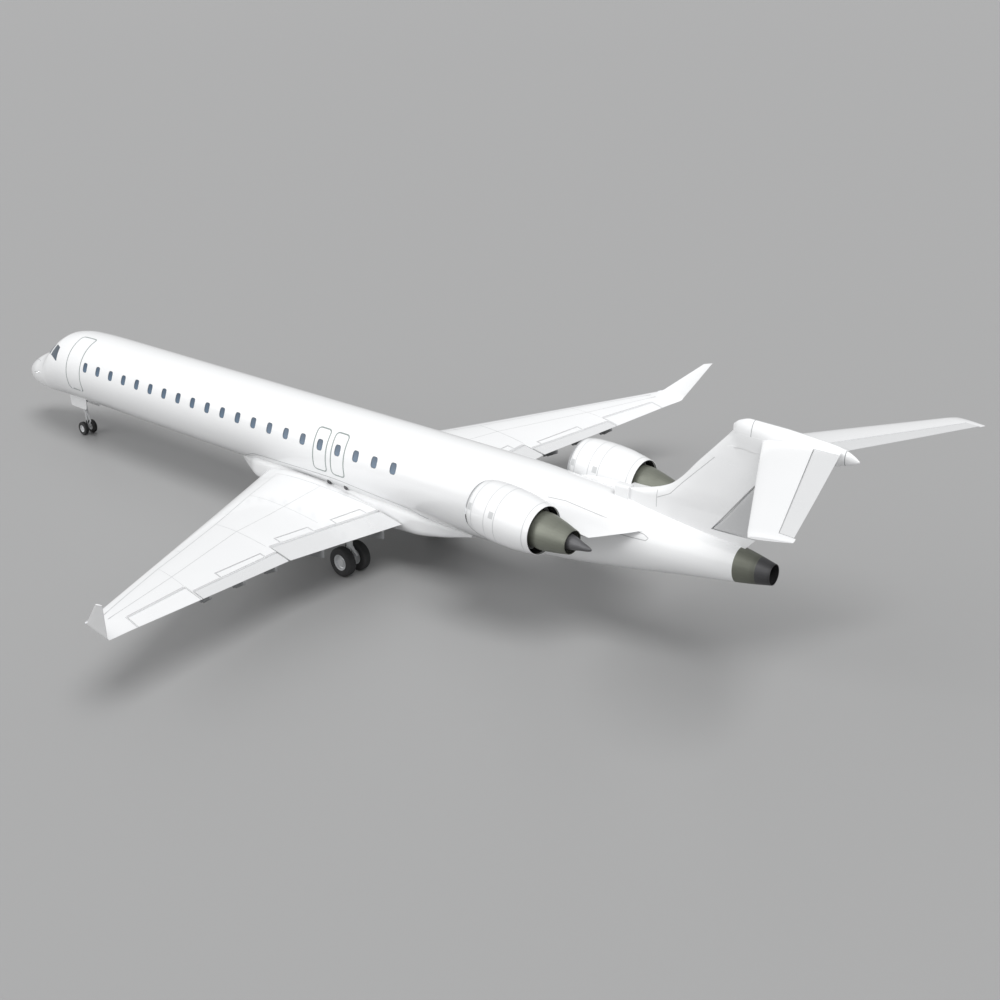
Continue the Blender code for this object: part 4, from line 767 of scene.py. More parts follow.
@dataclass
class BodyShell:
    """The smooth body with its bays, doors, windows, exits and cockpit glass."""

    shop: Workshop
    facets: int = 144
    first_window: float = 5.6065
    window_pitch: float = 0.8014
    window_count: int = 21
    window_angle: float = 20.4
    window_width: float = 0.255
    window_height: float = 0.36
    recess: float = 0.016
    nose_bay: tuple = ((2.55, -0.30, -1.80), (3.95, 0.30, -0.75))
    sections: tuple = (
        ("nose_skin", "nose_section", 0.0, 4.15, 60),
        ("front_cabin_skin", "cabin_front", 4.15, 12.5, 12),
        ("centre_cabin_skin", "cabin_centre", 12.5, 24.5, 10),
        ("rear_cabin_skin", "cabin_rear", 24.5, 32.70, 44),
    )
    passenger_door: np.ndarray = field(default_factory=lambda: panel_rows(4.42, 5.25, -22.0, 72.0, 0.12, 30))
    service_door: np.ndarray = field(default_factory=lambda: panel_rows(4.62, 5.23, 145.0, 202.0, 0.10, 20))
    exits: tuple = ((18.16, 18.74), (18.97, 19.54))
    panes: tuple = (
        ("front", ((33.0, 2.93, 2.98), (40.0, 2.79, 3.04), (50.0, 2.62, 3.09), (62.0, 2.40, 2.96),
                   (76.0, 2.21, 2.84), (88.5, 2.14, 2.79))),
        ("side", ((18.7, 3.58, 3.65), (30.3, 3.10, 3.625), (42.5, 3.20, 3.59), (48.8, 3.25, 3.275))),
    )

    def windows(self) -> np.ndarray:
        """List the windows' stations: the pitch is even."""
        return self.first_window + self.window_pitch * np.arange(self.window_count)

    def window_loop(self, station: float, side: Side, scale: float = 1.0) -> tuple[np.ndarray, np.ndarray]:
        """Draw a window's rounded outline: a superellipse in station and arc."""
        across, up = superellipse(36, 3.5)
        degrees = self.window_angle + np.degrees(up * self.window_height / 2 * scale / BODY_RADIUS)
        return station + across * self.window_width / 2 * scale, side.turn(degrees)

    def window_plug(self, station: float, side: Side, low: float, high: float, scale: float = 1.0) -> Solid:
        """Make a plug of a window's shape between two depths."""
        outline = self.window_loop(station, side, scale)
        return Solid.from_rings([body_skin(*outline, depth) for depth in (low, high)])

    def pane_rows(self, rows: tuple, side: Side, inset: float) -> np.ndarray:
        """Refine a cockpit pane's straight-sided rows, and mirror them for the right side."""
        data = np.array(rows)
        reach = math.degrees(inset / BODY_RADIUS)
        degrees = np.union1d(np.linspace(data[0, 0] + reach, data[-1, 0] - reach, 25), data[1:-1, 0])
        front = np.interp(degrees, data[:, 0], data[:, 1])
        back = np.interp(degrees, data[:, 0], data[:, 2])
        result = np.column_stack([degrees, front + inset, back - inset])
        if side is Side.RIGHT:
            result[:, 0] = 180.0 - result[:, 0]
            result = result[::-1]
        return result

    def skin(self, first: float, last: float, count: int) -> Solid:
        """Loft a section of the body, with rings closer together at the round tip."""
        if first == 0.0:
            tip = TIP_LENGTH * np.linspace(0.0, 1.0, 10) ** 2
            stations = np.concatenate([tip, np.linspace(TIP_LENGTH, last, count)[1:]])
        else:
            stations = np.linspace(first, last, count)
        degrees = np.linspace(0.0, 360.0, self.facets, endpoint=False)
        return Solid.from_rings(body_skin(stations[:, None], degrees[None, :]))

    def cuts(self, name: str, first: float, last: float) -> list[Solid]:
        """Gather what is cut out of a section of the body.

        Args:
            name: the section's name.
            first: the station of its front.
            last: the station of its back.

        Returns:
            The shapes to cut out.
        """
        plugs = [self.window_plug(station, side, -self.recess, 0.05)
                 for side in Side for station in self.windows() if first < station < last]
        tools = [Solid.joined(plugs)] if plugs else []
        if name == "nose_skin":
            tools.append(block(*self.nose_bay))
            tools += [panel(self.pane_rows(rows, side, 0.0), -0.014, 0.05) for _,
                      rows in self.panes for side in Side]
        if name == "front_cabin_skin":
            tools += [panel(self.passenger_door, -0.108, 0.10, 0.007),
                      panel(self.service_door, -0.081, 0.10, 0.005)]
        return tools

    def build(self) -> None:
        """Make the body's pieces."""
        for name, node, first, last, count in self.sections:
            self.shop.make(name, self.skin(first, last, count), Paints.WHITE, node, formula=body_normal,
                           cuts=self.cuts(name, first, last))
        self.shop.make("tail_cone_skin", self.skin(32.70, 33.28, 14), Paints.TAIL_METAL, "tail_cone",
                       formula=body_normal)
        self.build_pipe()
        self.build_windows()
        self.build_cockpit()
        self.build_doors()
        self.build_marks()

    def build_pipe(self) -> None:
        """Make the small exhaust pipe as an open tube with a dark throat: soot, and painted shade of its depth."""
        degrees = np.linspace(0.0, 360.0, self.facets, endpoint=False)[None, :]
        stations = np.array([33.28, 33.40, 33.52, BODY_END, BODY_END, 33.50, 33.37])[:, None]
        depth = np.array([0.0, 0.0, 0.0, 0.0, -0.02, -0.045, -0.05])[:, None]
        pipe = Solid.from_rings(body_skin(stations, degrees, depth))
        throat = Solid.from_rings(body_skin(np.array([33.372, 33.376])[:, None], degrees, -0.052))
        self.shop.make("exhaust_tube", pipe, Paints.PIPE, "exhaust_pipe")
        self.shop.make("exhaust_throat", throat, Paints.SOOT)

    def build_windows(self) -> None:
        """Set a pane and a seal in every window recess."""
        for side in Side:
            panes, seals = [], []
            for station in self.windows():
                panes.append(self.window_plug(station, side, -self.recess - 0.006, -self.recess + 0.004,
                                              0.985))
                points = body_skin(*self.window_loop(station, side, 0.955), -self.recess + 0.005)
                seals.append(strip(points, body_normal(points), 0.012, loop=True))
            self.shop.make(f"cabin_panes_{side.label}", panes, Paints.PANE)
            self.shop.make(f"window_seals_{side.label}", seals, Paints.SEAL)

    def build_cockpit(self) -> None:
        """Set the four cockpit panes in their recesses, each with its seal, and lay the wipers."""
        panes, seals = [], []
        for _, rows in self.panes:
            for side in Side:
                panes.append(panel(self.pane_rows(rows, side, 0.004), -0.030, -0.006, across=15))
                points = body_skin(*panel_outline(self.pane_rows(rows, side, 0.006)), -0.006)
                seals.append(strip(points, body_normal(points), 0.016, loop=True))
        self.shop.make("cockpit_panes", panes, Paints.COCKPIT, "windscreen", formula=body_normal)
        self.shop.make("cockpit_seals", seals, Paints.SEAL)
        stations, degrees = np.linspace(2.35, 2.13, 10), np.linspace(64.0, 84.0, 10)
        wipers = [tube(body_skin(stations, side.turn(degrees), 0.010), 0.009) for side in Side]
        self.shop.make("wipers", wipers, Paints.BLACK)

    def short_rows(self, degrees: float, front: float, back: float) -> np.ndarray:
        """Lay out a low straight panel: three rows, 1.2 degrees apart."""
        return np.array([(degrees + rise, front, back) for rise in (0.0, 1.2, 2.4)])

    def build_doors(self) -> None:
        """Make the passenger door with steps inside, the service door, and the drawn outlines."""
        make, door = self.shop.make, "passenger_door"
        make("doorway_lining", panel(self.passenger_door, -0.112, -0.1045), Paints.DOORWAY)
        above_sill = panel_rows(4.42, 5.25, -21.3, 72.0, 0.12, 30)
        make("passenger_door_panel", panel(above_sill, -0.060, 0.0, across=17), Paints.WHITE, door, body=door,
             formula=body_normal)
        steps = [panel(self.short_rows(degrees, 4.55, 5.12), -0.098,
                       -0.055) for degrees in np.linspace(-12.0, 62.0, 6)]
        make("door_steps", steps, Paints.GREY, body=door)
        degrees = np.linspace(-18.0, 66.0, 24)
        rails = [tube(body_skin(np.full(24, station), degrees, -0.078), 0.014) for station in (4.50, 5.17)]
        make("door_rails", rails, Paints.CHROME, body=door)
        make("door_handle", panel(self.short_rows(14.0, 4.50, 4.64), -0.010, 0.004), Paints.WHITE, body=door)
        starts = [np.array([1.22059, station - LENGTH / 2, 2.44619]) for station in (4.56, 5.11)]
        make("door_knuckles", [rod(start, start + AFT * 0.08, 0.026) for start in starts], Paints.GEAR,
             body=door)
        make("service_door_panel", panel(self.service_door, -0.070, 0.0, across=13), Paints.WHITE,
             "service_door",
             formula=body_normal)
        outlines = [self.grown_outline(*panel_outline(rows), 0.031) for rows in (self.passenger_door,
                                                                                 self.service_door)]
        for side in Side:
            for front, back in self.exits:
                stations, degrees = panel_outline(panel_rows(front, back, -15.5, 44.3, 0.13, 24))
                outlines.append(body_strip(stations, side.turn(degrees), 0.050, True))
        make("door_outlines", outlines, Paints.OUTLINE)

    def grown_outline(self, stations: np.ndarray, degrees: np.ndarray, grow: float) -> Solid:
        """Lay an outline just outside a door's gap, so that it stays on the fixed skin."""
        middle_s, middle_d = (stations.min() + stations.max()) / 2, (degrees.min() + degrees.max()) / 2
        half_s, half_d = np.ptp(stations) / 2, np.ptp(degrees) / 2
        stations = middle_s + (stations - middle_s) * (half_s + grow) / half_s
        degrees = middle_d + (degrees - middle_d) * (half_d + math.degrees(grow / BODY_RADIUS)) / half_d
        return body_strip(stations, degrees, 0.044, True)

    def build_marks(self) -> None:
        """Add the round ports, the pylon panels, antennas, probes and the belly lamp."""
        make = self.shop.make
        ports = []
        tilt = math.radians(14.0)
        for side in Side:
            outwards = np.array([side.value * math.cos(tilt), 0.0, -math.sin(tilt)])
            for station, degrees in ((18.60, -34.6), (19.35, -35.2)):
                point = body_skin(station, side.turn(degrees))
                ports.append(rod(point - outwards * 0.05, point + outwards * 0.030, 0.080, 32))
        make("side_ports", ports, Paints.PORT)
        outline = np.array([
            (27.17, 0.82, 0.88), (27.73, 0.78, 0.92), (28.91, 0.84, 0.87), (30.23, 0.93, 0.76),
            (30.37, 0.98, 0.68), (30.31, 1.04, 0.58), (29.95, 1.05, 0.56), (28.90, 1.10, 0.56),
            (28.0, 1.12, 0.56),
        ])
        stations, angles = panel_outline(panel_rows(22.20, 22.58, -56.0, -44.0, 0.08, 6))
        seams = []
        for side in Side:
            seams.append(body_strip(outline[:, 0], side.turn(body_degrees(outline)), 0.026))
            seams.append(body_strip(stations, side.turn(angles), 0.020, True))
        make("body_panel_seams", seams, Paints.SOFT_SEAM_AND_SHADE)
        make("antennas", [self.antenna(station) for station in (9.4, 11.3)], Paints.WHITE)
        probes = []
        for side in Side:
            for station, height in ((1.75, -0.10), (2.05, -0.42)):
                oval = body_oval(station)
                foot = body_skin(station, side.turn(math.degrees(math.asin((height - oval[0]) / oval[2]))))
                normal = body_normal(foot[None, :])[0]
                elbow = foot + normal * 0.09
                path = [foot - normal * 0.01, foot + normal * 0.05, elbow, elbow - AFT * 0.06,
                        elbow - AFT * 0.17]
                probes.append(tube(np.array(path), 0.010))
        make("air_probes", probes, Paints.CHROME)
        profile = rounded(((0.0, 0.0), (0.0, 0.07), (0.04, 0.068), (0.085, 0.045), (0.10, 0.0)), 16)
        make("belly_beacon", turned(profile, body_skin(12.6, -90.0, -0.01), -UPRIGHT, 32), Paints.RED)

    def antenna(self, station: float) -> Solid:
        """Make a blade antenna under the belly: a thin swept section that gets shorter as it drops."""
        angle = np.linspace(0.0, math.tau, 20, endpoint=False)
        rings = []
        for drop, chord, shift in ((-0.03, 0.30, 0.0), (0.02, 0.27, 0.02), (0.16, 0.17, 0.10),
                                   (0.21, 0.13, 0.13)):
            level = body_skin(station, -90.0)[2] - drop - CENTRE_HEIGHT
            along = station + shift + chord / 2 * (1 - np.cos(angle))
            rings.append(place(along, 0.012 * np.sin(angle) * (1.0 - drop), level))
        return Solid.from_rings(rings)


def section_half(ratio: Reals, chord: Reals, share: Reals) -> np.ndarray:
    """Find a wing section's half thickness at shares of its chord: a round nose that thins to a small edge."""
    curve = 0.2969 * np.sqrt(share) - 0.1260 * share - 0.3516 * share ** 2 + 0.2843 * share ** 3 - 0.1036 * share ** 4
    return 5 * curve * ratio * chord + TRAILING_EDGE / 2 * share


def airfoil(lead: Reals, trail: Reals, ratio: float, up: np.ndarray, camber: float = 0.0) -> np.ndarray:
    """Draw a wing section as a ring: back along its top, then forward along its bottom."""
    lead, trail = np.asarray(lead, dtype=float), np.asarray(trail, dtype=float)
    chord = float(np.linalg.norm(trail - lead))
    share = SHARES[:, None]
    half = section_half(ratio, chord, share)
    middle = lead + (trail - lead) * share + up * (4 * camber * chord * share * (1 - share))
    return np.concatenate([middle + up * half, (middle - up * half)[:0:-1]])


def round_nose(centre: np.ndarray, radius: float, up: np.ndarray, count: int = 15) -> np.ndarray:
    """Draw a half circle from its top forward and round to its bottom."""
    angle = np.linspace(math.pi / 2, 1.5 * math.pi, count)[:, None]
    return centre + radius * (np.cos(angle) * AFT + np.sin(angle) * up)


@dataclass
class BellyFairing:
    """The fairing round the wing roots, with the two open main-wheel bays."""

    shop: Workshop
    rows: tuple = (
        (13.57, -1.18, -1.34, 0.50), (14.30, -0.98, -1.52, 0.84), (15.10, -0.72, -1.66, 1.13),
        (17.0, -0.66, -1.75, 1.13), (20.5, -0.66, -1.75, 1.13), (22.1, -0.72, -1.68, 1.13),
        (23.0, -0.92, -1.56, 0.92), (24.03, -1.20, -1.36, 0.48),
    )
    seam: tuple = (
        (14.14, 0.87, -1.0), (15.07, 1.14, -0.67), (16.64, 1.18, -0.60), (18.83, 1.21, -0.53),
        (20.52, 1.17, -0.63), (22.11, 1.11, -0.73), (22.72, 0.92, -0.95),
    )
    bay_station: float = 20.45
    bay_side: float = 0.56
    bay_radius: float = 0.52
    bay_top: float = -1.08

    def ring(self, station: float, top: float, bottom: float, half: float) -> np.ndarray:
        """Draw a section: superelliptic flanks and corners under a top that lies inside the body."""
        across, up = superellipse(96, 3.6)
        return place(station, half * across, (top + bottom) / 2 + (top - bottom) / 2 * up)

    def build(self) -> None:
        """Make the fairing, its bays' linings and its seam."""
        make, radius, depth = self.shop.make, self.bay_radius, self.bay_top + 2.0
        table = CubicTable(self.rows)
        stations = np.linspace(self.rows[0][0], self.rows[-1][0], 72)
        rings = [self.ring(station, *table.read(station)) for station in stations]
        hole = ((0.0, 0.0), (0.0, radius), (depth, radius), (depth, 0.0))
        wall = ((0.26, radius + 0.006), (0.26, radius - 0.003), (depth - 0.003, radius - 0.003),
                (depth - 0.003, 0.0), (depth + 0.010, 0.0), (depth + 0.010, radius + 0.006))
        tools, linings = [], []
        for side in Side:
            low = place(self.bay_station, side.value * self.bay_side, -2.0)
            tools.append(turned(hole, low, UPRIGHT))
            linings.append(turned(wall, low, UPRIGHT))
            angles = side.turn(np.linspace(-89.5, -52.0, 10))[::side.value]
            patch = np.column_stack([angles, np.full(10, 19.92), np.full(10, 20.98)])
            linings.append(panel(patch, -0.004, 0.003))
        make("belly_fairing_skin", Solid.from_rings(rings), Paints.WHITE, "belly_fairing", cuts=tools)
        make("wheel_bay_linings", linings, Paints.LINING)
        seam = np.array(self.seam)
        stations = np.linspace(seam[0, 0], seam[-1, 0], 60)
        degrees = CubicTable(np.column_stack([seam[:, 0], body_degrees(seam)])).read(stations)[:, 0]
        make("fairing_seams", [body_strip(stations, side.turn(degrees), 0.024) for side in Side], Paints.SEAM)


@dataclass(frozen=True)
class Surface:
    """A hinged surface along the wing: its ends, the wing's edge before it, and its hinge's drop."""

    name: str
    inner: float
    outer: float
    inner_edge: float
    outer_edge: float
    inner_drop: float
    outer_drop: float
    room_inner: float
    room_outer: float
    tracks: tuple = ()

    def share(self, side: Reals) -> np.ndarray:
        """Give the share of the surface's span at a side."""
        return (np.asarray(side) - self.inner) / (self.outer - self.inner)

    def edge(self, side: Reals) -> np.ndarray:
        """Read the station of the wing's edge in front of the surface."""
        return self.inner_edge + (self.outer_edge - self.inner_edge) * self.share(side)

    def drop(self, side: Reals) -> np.ndarray:
        """Read how far the hinge line lies below the surface's middle."""
        return self.inner_drop + (self.outer_drop - self.inner_drop) * self.share(side)


@dataclass(frozen=True)
class Spoiler:
    """A slim panel on the wing's top that lifts about its front edge."""

    name: str
    inner: float
    outer: float
    inner_front: float
    outer_front: float
    inner_back: float
    outer_back: float


@dataclass
class Wing:
    """One wing with its winglet, flaps, aileron, spoilers, hinge fairings and panel lines."""

    shop: Workshop
    side: Side
    camber: float = 0.012
    rows: tuple = (
        (1.1303, 15.575, -1.225, 21.840, -1.285, 0.125), (3.3, 16.865, -1.040, 21.836, -1.120, 0.118),
        (5.492, 18.168, -0.852, 21.832, -0.958, 0.110), (8.6, 20.016, -0.587, 22.324, -0.727, 0.104),
        (11.05, 21.473, -0.378, 22.727, -0.525, 0.100), (11.848, 21.950, -0.308, 22.893, -0.452, 0.098),
    )
    winglet_foot: tuple = ((22.0, 11.87, -0.30), (22.893, 11.89, -0.44))
    winglet_head: tuple = ((23.413, 12.386, 0.868), (23.754, 12.423, 0.956))
    winglet: tuple = ((0.07, 35.0), (0.20, 58.0), (0.60, 65.0), (1.0, 65.0))
    winglet_ratio: float = 0.085
    surfaces: tuple = (
        Surface("flap_inboard", 1.17, 5.43, 20.825, 20.950, 0.42, 0.34, 0.6303, 5.47,
                ((1.95, 0.27, 0.18), (4.27, 0.24, 0.75))),
        Surface("flap_outboard", 5.50, 8.74, 21.286, 21.942, 0.32, 0.28, 5.44, 8.77,
                ((6.03, 0.14, 0.75), (7.27, 0.12, 0.75), (8.50, 0.105, 0.75))),
        Surface("aileron", 8.84, 10.91, 21.68, 22.24, 0.0, 0.0, 8.82, 10.93),
    )
    spoilers: tuple = (
        Spoiler("spoiler_inboard", 1.64, 2.83, 20.530, 20.595, 20.81, 20.845),
        Spoiler("spoiler_middle", 3.77, 4.98, 20.615, 20.655, 20.872, 20.907),
        Spoiler("spoiler_outboard", 5.95, 7.66, 21.160, 21.468, 21.347, 21.69),
    )
    spoiler_radius: float = 0.014
    spoiler_edge: float = 0.012
    track_half: float = 0.045
    barrel: float = 0.05
    lines: tuple = (
        ("slat_line", 0.025, ((16.70, 1.64), (17.58, 3.41), (18.82, 5.63), (19.84, 7.59), (20.40, 8.71),
                              (21.21, 10.15), (21.91, 11.36))),
        ("spar_line", 0.018, ((18.56, 1.41), (19.31, 4.04), (19.69, 5.57), (21.08, 8.81), (22.12, 11.36))),
        ("kink_line", 0.018, ((18.82, 5.63), (19.69, 5.57), (20.90, 5.515))),
        ("root_line", 0.022, ((16.65, 1.56), (18.61, 1.43), (20.06, 1.24), (20.80, 1.16))),
        ("slat_cut_inner", 0.018, ((16.40, 2.12), (16.80, 1.96))),
        ("slat_cut_outer", 0.018, ((18.05, 4.97), (18.48, 4.87))),
        ("slat_cut_middle", 0.018, ((19.40, 7.62), (19.84, 7.59))),
        ("rib_line_inner", 0.012, ((17.58, 3.41), (20.55, 3.30))),
        ("rib_line_outer", 0.012, ((20.40, 8.71), (21.62, 8.80))),
    )

    @property
    def sign(self) -> int:
        """Give the sign of the side coordinate."""
        return self.side.value

    def at(self, station: Reals, side: Reals, height: Reals) -> np.ndarray:
        """Find points on this wing's side; its sides count outwards from the plane of symmetry."""
        return place(station, self.sign * side, height)

    def edges(self, side: Reals) -> list[np.ndarray]:
        """Read the wing's edges at a side, along straight lines between its sections."""
        rows = np.array(self.rows)
        return [np.interp(side, rows[:, 0], rows[:, column]) for column in range(1, 6)]

    def middle_and_half(self, side: Reals, station: Reals) -> tuple[np.ndarray, np.ndarray]:
        """Find the height of the wing's middle line and its half thickness at a side and a station."""
        lead_s, lead_z, trail_s, trail_z, ratio = self.edges(side)
        chord = trail_s - lead_s
        share = np.clip((station - lead_s) / chord, 0.0, 1.0)
        middle = lead_z + (trail_z - lead_z) * share + 4 * self.camber * chord * share * (1 - share)
        return middle, section_half(ratio, chord, share)

    def top(self, side: Reals, station: Reals) -> np.ndarray:
        """Find the height of the wing's top."""
        return sum(self.middle_and_half(side, station))

    def bottom(self, side: Reals, station: Reals) -> np.ndarray:
        """Find the height of the wing's bottom."""
        middle, half = self.middle_and_half(side, station)
        return middle - half

    def section(self, side: float) -> tuple[np.ndarray, np.ndarray, float]:
        """Find the wing's front and rear edge at a side as points, and its thickness ratio."""
        lead_s, lead_z, trail_s, trail_z, ratio = self.edges(side)
        return self.at(lead_s, side, lead_z), self.at(trail_s, side, trail_z), float(ratio)

    def rings(self) -> list[np.ndarray]:
        """Find the wing's sections: straight between its rows, then a smooth sweep up into the winglet."""
        rows = np.array(self.rows)
        rings = []
        for side in np.union1d(np.linspace(rows[0, 0], rows[4, 0], 42), rows[:5, 0]):
            rings.append(airfoil(*self.section(side), UPRIGHT, self.camber))
        sweep = []
        for side in (10.2, rows[4, 0], rows[5, 0]):
            lead, trail, ratio = self.section(side)
            sweep.append([*lead, *trail, 0.0, ratio, self.camber])
        foot, head = ([self.at(*point) for point in points] for points in (self.winglet_foot,
                                                                           self.winglet_head))
        for share, cant in self.winglet:
            lead, trail = (low + (high - low) * share for low, high in zip(foot, head))
            sweep.append([*lead, *trail, cant, self.winglet_ratio, 0.0])
        length = lengths(np.array(sweep)[:, :3])
        table = CubicTable(np.column_stack([length, sweep]))
        for row in table.read(np.linspace(length[1], length[-1], 44)[1:]):
            cant = math.radians(row[6])
            up = np.array([-self.sign * math.sin(cant), 0.0, math.cos(cant)])
            rings.append(airfoil(row[:3], row[3:6], row[7], up, row[8]))
        return rings

    def nose_of(self, surface: Surface, side: float) -> tuple[float, float, float]:
        """Find the station, height and radius of a surface's round nose."""
        station = float(surface.edge(side)) + CLEAR
        radius = float(self.middle_and_half(side, station)[1])
        for _ in range(3):
            radius = float(self.middle_and_half(side, station + radius)[1])
        return station + radius, float(self.middle_and_half(side, station + radius)[0]), radius

    def hinge_line(self, surface: Surface) -> tuple[np.ndarray, np.ndarray]:
        """Find two points of a surface's hinge line, at its inner and outer ends."""
        points = []
        for side in (surface.inner, surface.outer):
            station, middle, _ = self.nose_of(surface, side)
            points.append(self.at(station, side, middle - float(surface.drop(side))))
        return points[0], points[1]

    def surface_solid(self, surface: Surface) -> Solid:
        """Make a hinged surface: a round nose, then the wing's own lines to the trailing edge."""
        rings = []
        for side in np.linspace(surface.inner, surface.outer, 14):
            station, middle, radius = self.nose_of(surface, side)
            nose = round_nose(self.at(station, side, middle), radius, UPRIGHT)
            aft = np.linspace(station, float(self.edges(side)[2]), 14)[1:]
            above = self.at(aft, side, self.top(side, aft))[::-1]
            rings.append(np.concatenate([nose, self.at(aft, side, self.bottom(side, aft)), above]))
        return Solid.from_rings(rings)

    def prism(self, surface: Surface) -> Solid:
        """Make the upright tool shape for a surface's room, behind the wing's edge."""
        back, low, high = 24.5, -2.2, 0.4
        rings = []
        for side in (surface.room_inner, surface.room_outer):
            edge = float(surface.edge(side))
            rings.append(self.at(np.array([edge, edge, back, back]), side, np.array([low, high, high, low])))
        return Solid.from_rings(rings)

    def pins(self, start: np.ndarray, end: np.ndarray, radius: float, slack: float = TOUCH) -> list[Solid]:
        """Make hinge pins that end a slack short of the end walls of the surface's room."""
        level = abs(unit(end - start)[0])
        return hinge_pins(start, end, radius, (END_GAP - radius * math.sqrt(1 - level ** 2) - slack) / level)

    def track_section(self, side: float, station: float, low: float, high: float, width: float) -> np.ndarray:
        """Draw a hinge fairing's section: a flat top and a round keel."""
        angle = np.linspace(0.0, math.pi, 17)
        keel = min(0.05, (high - low) * 0.6)
        across = width * np.cos(angle)
        height = low + keel * (1 - np.sin(angle) ** 0.8)
        across = np.concatenate([[width], across[1:-1], [-width]])
        height = np.concatenate([[low + keel], height[1:-1], [low + keel]])
        across = np.concatenate([across, [-width, width]])
        height = np.concatenate([height, [high, high]])
        return place(station, self.sign * side + across, height)

    def track_solids(self, surface: Surface) -> tuple[list[Solid], list[Solid]]:
        """Make a flap's hinge fairings.

        Args:
            surface: the flap.

        Returns:
            The moving rear parts, and the fixed front parts with their hinge arms.
        """
        inner, outer = self.hinge_line(surface)
        along = unit(outer - inner)
        moving, fixed = [], []
        half, barrel = self.track_half, self.barrel
        forward = unit([along[1], -along[0], 0.0])
        forward *= -1.0 if forward[1] > 0 else 1.0
        for side, depth, ahead in surface.tracks:
            pivot = inner + (outer - inner) * float(surface.share(side))
            hinge_s, hinge_z = pivot[1] + LENGTH / 2, pivot[2] - CENTRE_HEIGHT
            trail_s, trail_z = (float(value) for value in self.edges(side)[2:4])
            rows = (
                (hinge_s, hinge_z - barrel * 0.9, hinge_z + barrel * 0.9, half * 0.7),
                (hinge_s + 0.08, hinge_z - barrel, float(self.bottom(side, hinge_s + 0.10)) + 0.04, half),
                (trail_s - 0.02, trail_z - depth - 0.01, trail_z - 0.001, half),
                (trail_s + 0.02, trail_z - depth, trail_z - 0.03, half * 0.7),
            )
            moving.append(Solid.from_rings([self.track_section(side, *row) for row in rows]))
            start = pivot - along * 0.06
            moving.append(rod(start, pivot + along * 0.06, barrel))
            front = hinge_s - barrel - 3 * CLEAR
            wall = float(surface.edge(side))
            _, nose_middle, nose_radius = self.nose_of(surface, side)
            shelf = nose_middle - nose_radius - 6 * CLEAR
            tip = wall - ahead
            under = float(self.bottom(side, tip))
            rows = [(tip, under - 0.01, under + 0.08, half * 0.4)]
            for station in (wall - ahead / 3, min(wall - 0.014, front)):
                rows.append((station, hinge_z - barrel, float(self.bottom(side, station)) + 0.07, half))
            if front > wall + END_GAP / 2:
                rows += [(station, hinge_z - barrel, shelf, half) for station in (wall - 0.006, front)]
            fixed.append(Solid.from_rings([self.track_section(side, *row) for row in rows]))
            near = start - along * TOUCH
            far = near - along * 0.05
            fixed.append(rod(far, near, barrel))
            arm = ((0.0, 0.0), (barrel + CLEAR + 0.004, 0.0), (0.11, 0.075), (0.24, 0.075))
            fixed.append(Solid.from_rings([
                box_ring((near + far) / 2 + forward * reach + along * inwards, along * (0.025 - CLEAR),
                         UPRIGHT * barrel * 0.7) for reach, inwards in arm]))
        return moving, fixed

    def spoiler_hinge(self, spoiler: Spoiler) -> list[tuple[float, float, float]]:
        """Find a spoiler's hinge at its two ends: side, station and height."""
        found = []
        for side, front in ((spoiler.inner, spoiler.inner_front), (spoiler.outer, spoiler.outer_front)):
            station = front + self.spoiler_radius
            found.append((side, station, float(self.top(side, station)) - self.spoiler_radius))
        return found

    def spoiler_room(self, spoiler: Spoiler) -> Solid:
        """Make the tool for a spoiler's room, with a flat floor that is deep enough at all corners."""
        rings = []
        backs = (spoiler.inner_back, spoiler.outer_back)
        for (side, station, height), back, outwards in zip(self.spoiler_hinge(spoiler), backs, (-1, 1)):
            floor = height - self.spoiler_radius - 2 * CLEAR
            rear = min(floor, float(self.top(side, back)) - self.spoiler_edge - CLEAR)
            front = station - self.spoiler_radius - CLEAR - 0.005
            stations = np.array([front, front, back + 0.08, back + 0.08])
            levels = np.array([floor, floor + 0.30, floor + 0.30, rear])
            rings.append(self.at(stations, side + outwards * END_GAP, levels))
        near, far = rings
        normal = np.cross(far[0] - near[0], near[3] - near[0])
        level = near[0][2] - (normal[0] * (far[3][0] - near[0][0]) + normal[1] * (far[3][1] - near[0][1])) / normal[2]
        shift = max(level - far[3][2], 0.0)
        far[3][2] = level
        for corner in (near[0], near[3], far[0], far[3]):
            corner[2] -= shift
        return Solid.from_rings([near, far])

    def spoiler_solid(self, spoiler: Spoiler) -> Solid:
        """Make a spoiler: a round front edge under a top that follows the wing."""
        (_, front_a, height_a), (_, front_b, height_b) = self.spoiler_hinge(spoiler)
        rings = []
        for share in np.linspace(0.0, 1.0, 8):
            side = spoiler.inner + (spoiler.outer - spoiler.inner) * share
            station = front_a + (front_b - front_a) * share
            height = height_a + (height_b - height_a) * share
            back = spoiler.inner_back + (spoiler.outer_back - spoiler.inner_back) * share
            nose = round_nose(self.at(station, side, height), self.spoiler_radius, UPRIGHT, 9)
            tail = self.at(back, side, float(self.top(side, back)) - self.spoiler_edge)[None, :]
            aft = np.linspace(back, station, 9)[:-1]
            rings.append(np.concatenate([nose, tail, self.at(aft, side, self.top(side, aft))]))
        return Solid.from_rings(rings)

    def line_on_top(self, points: Rows, width: float) -> Solid:
        """Lay a thin strip along a line on the wing's top, square to the surface."""
        data = np.array(points)
        length = lengths(data)
        places = np.linspace(0.0, length[-1], max(4, int(length[-1] / 0.08)))
        station, side = np.interp(places, length, data[:, 0]), np.interp(places, length, data[:, 1])
        step = 0.01
        along = (self.top(side, station + step) - self.top(side, station - step)) / (2 * step)
        across = (self.top(side + step, station) - self.top(side - step, station)) / (2 * step)
        normals = unit(np.column_stack([-self.sign * across, -along, np.ones_like(along)]))
        return strip(self.at(station, side, self.top(side, station)), normals, width)

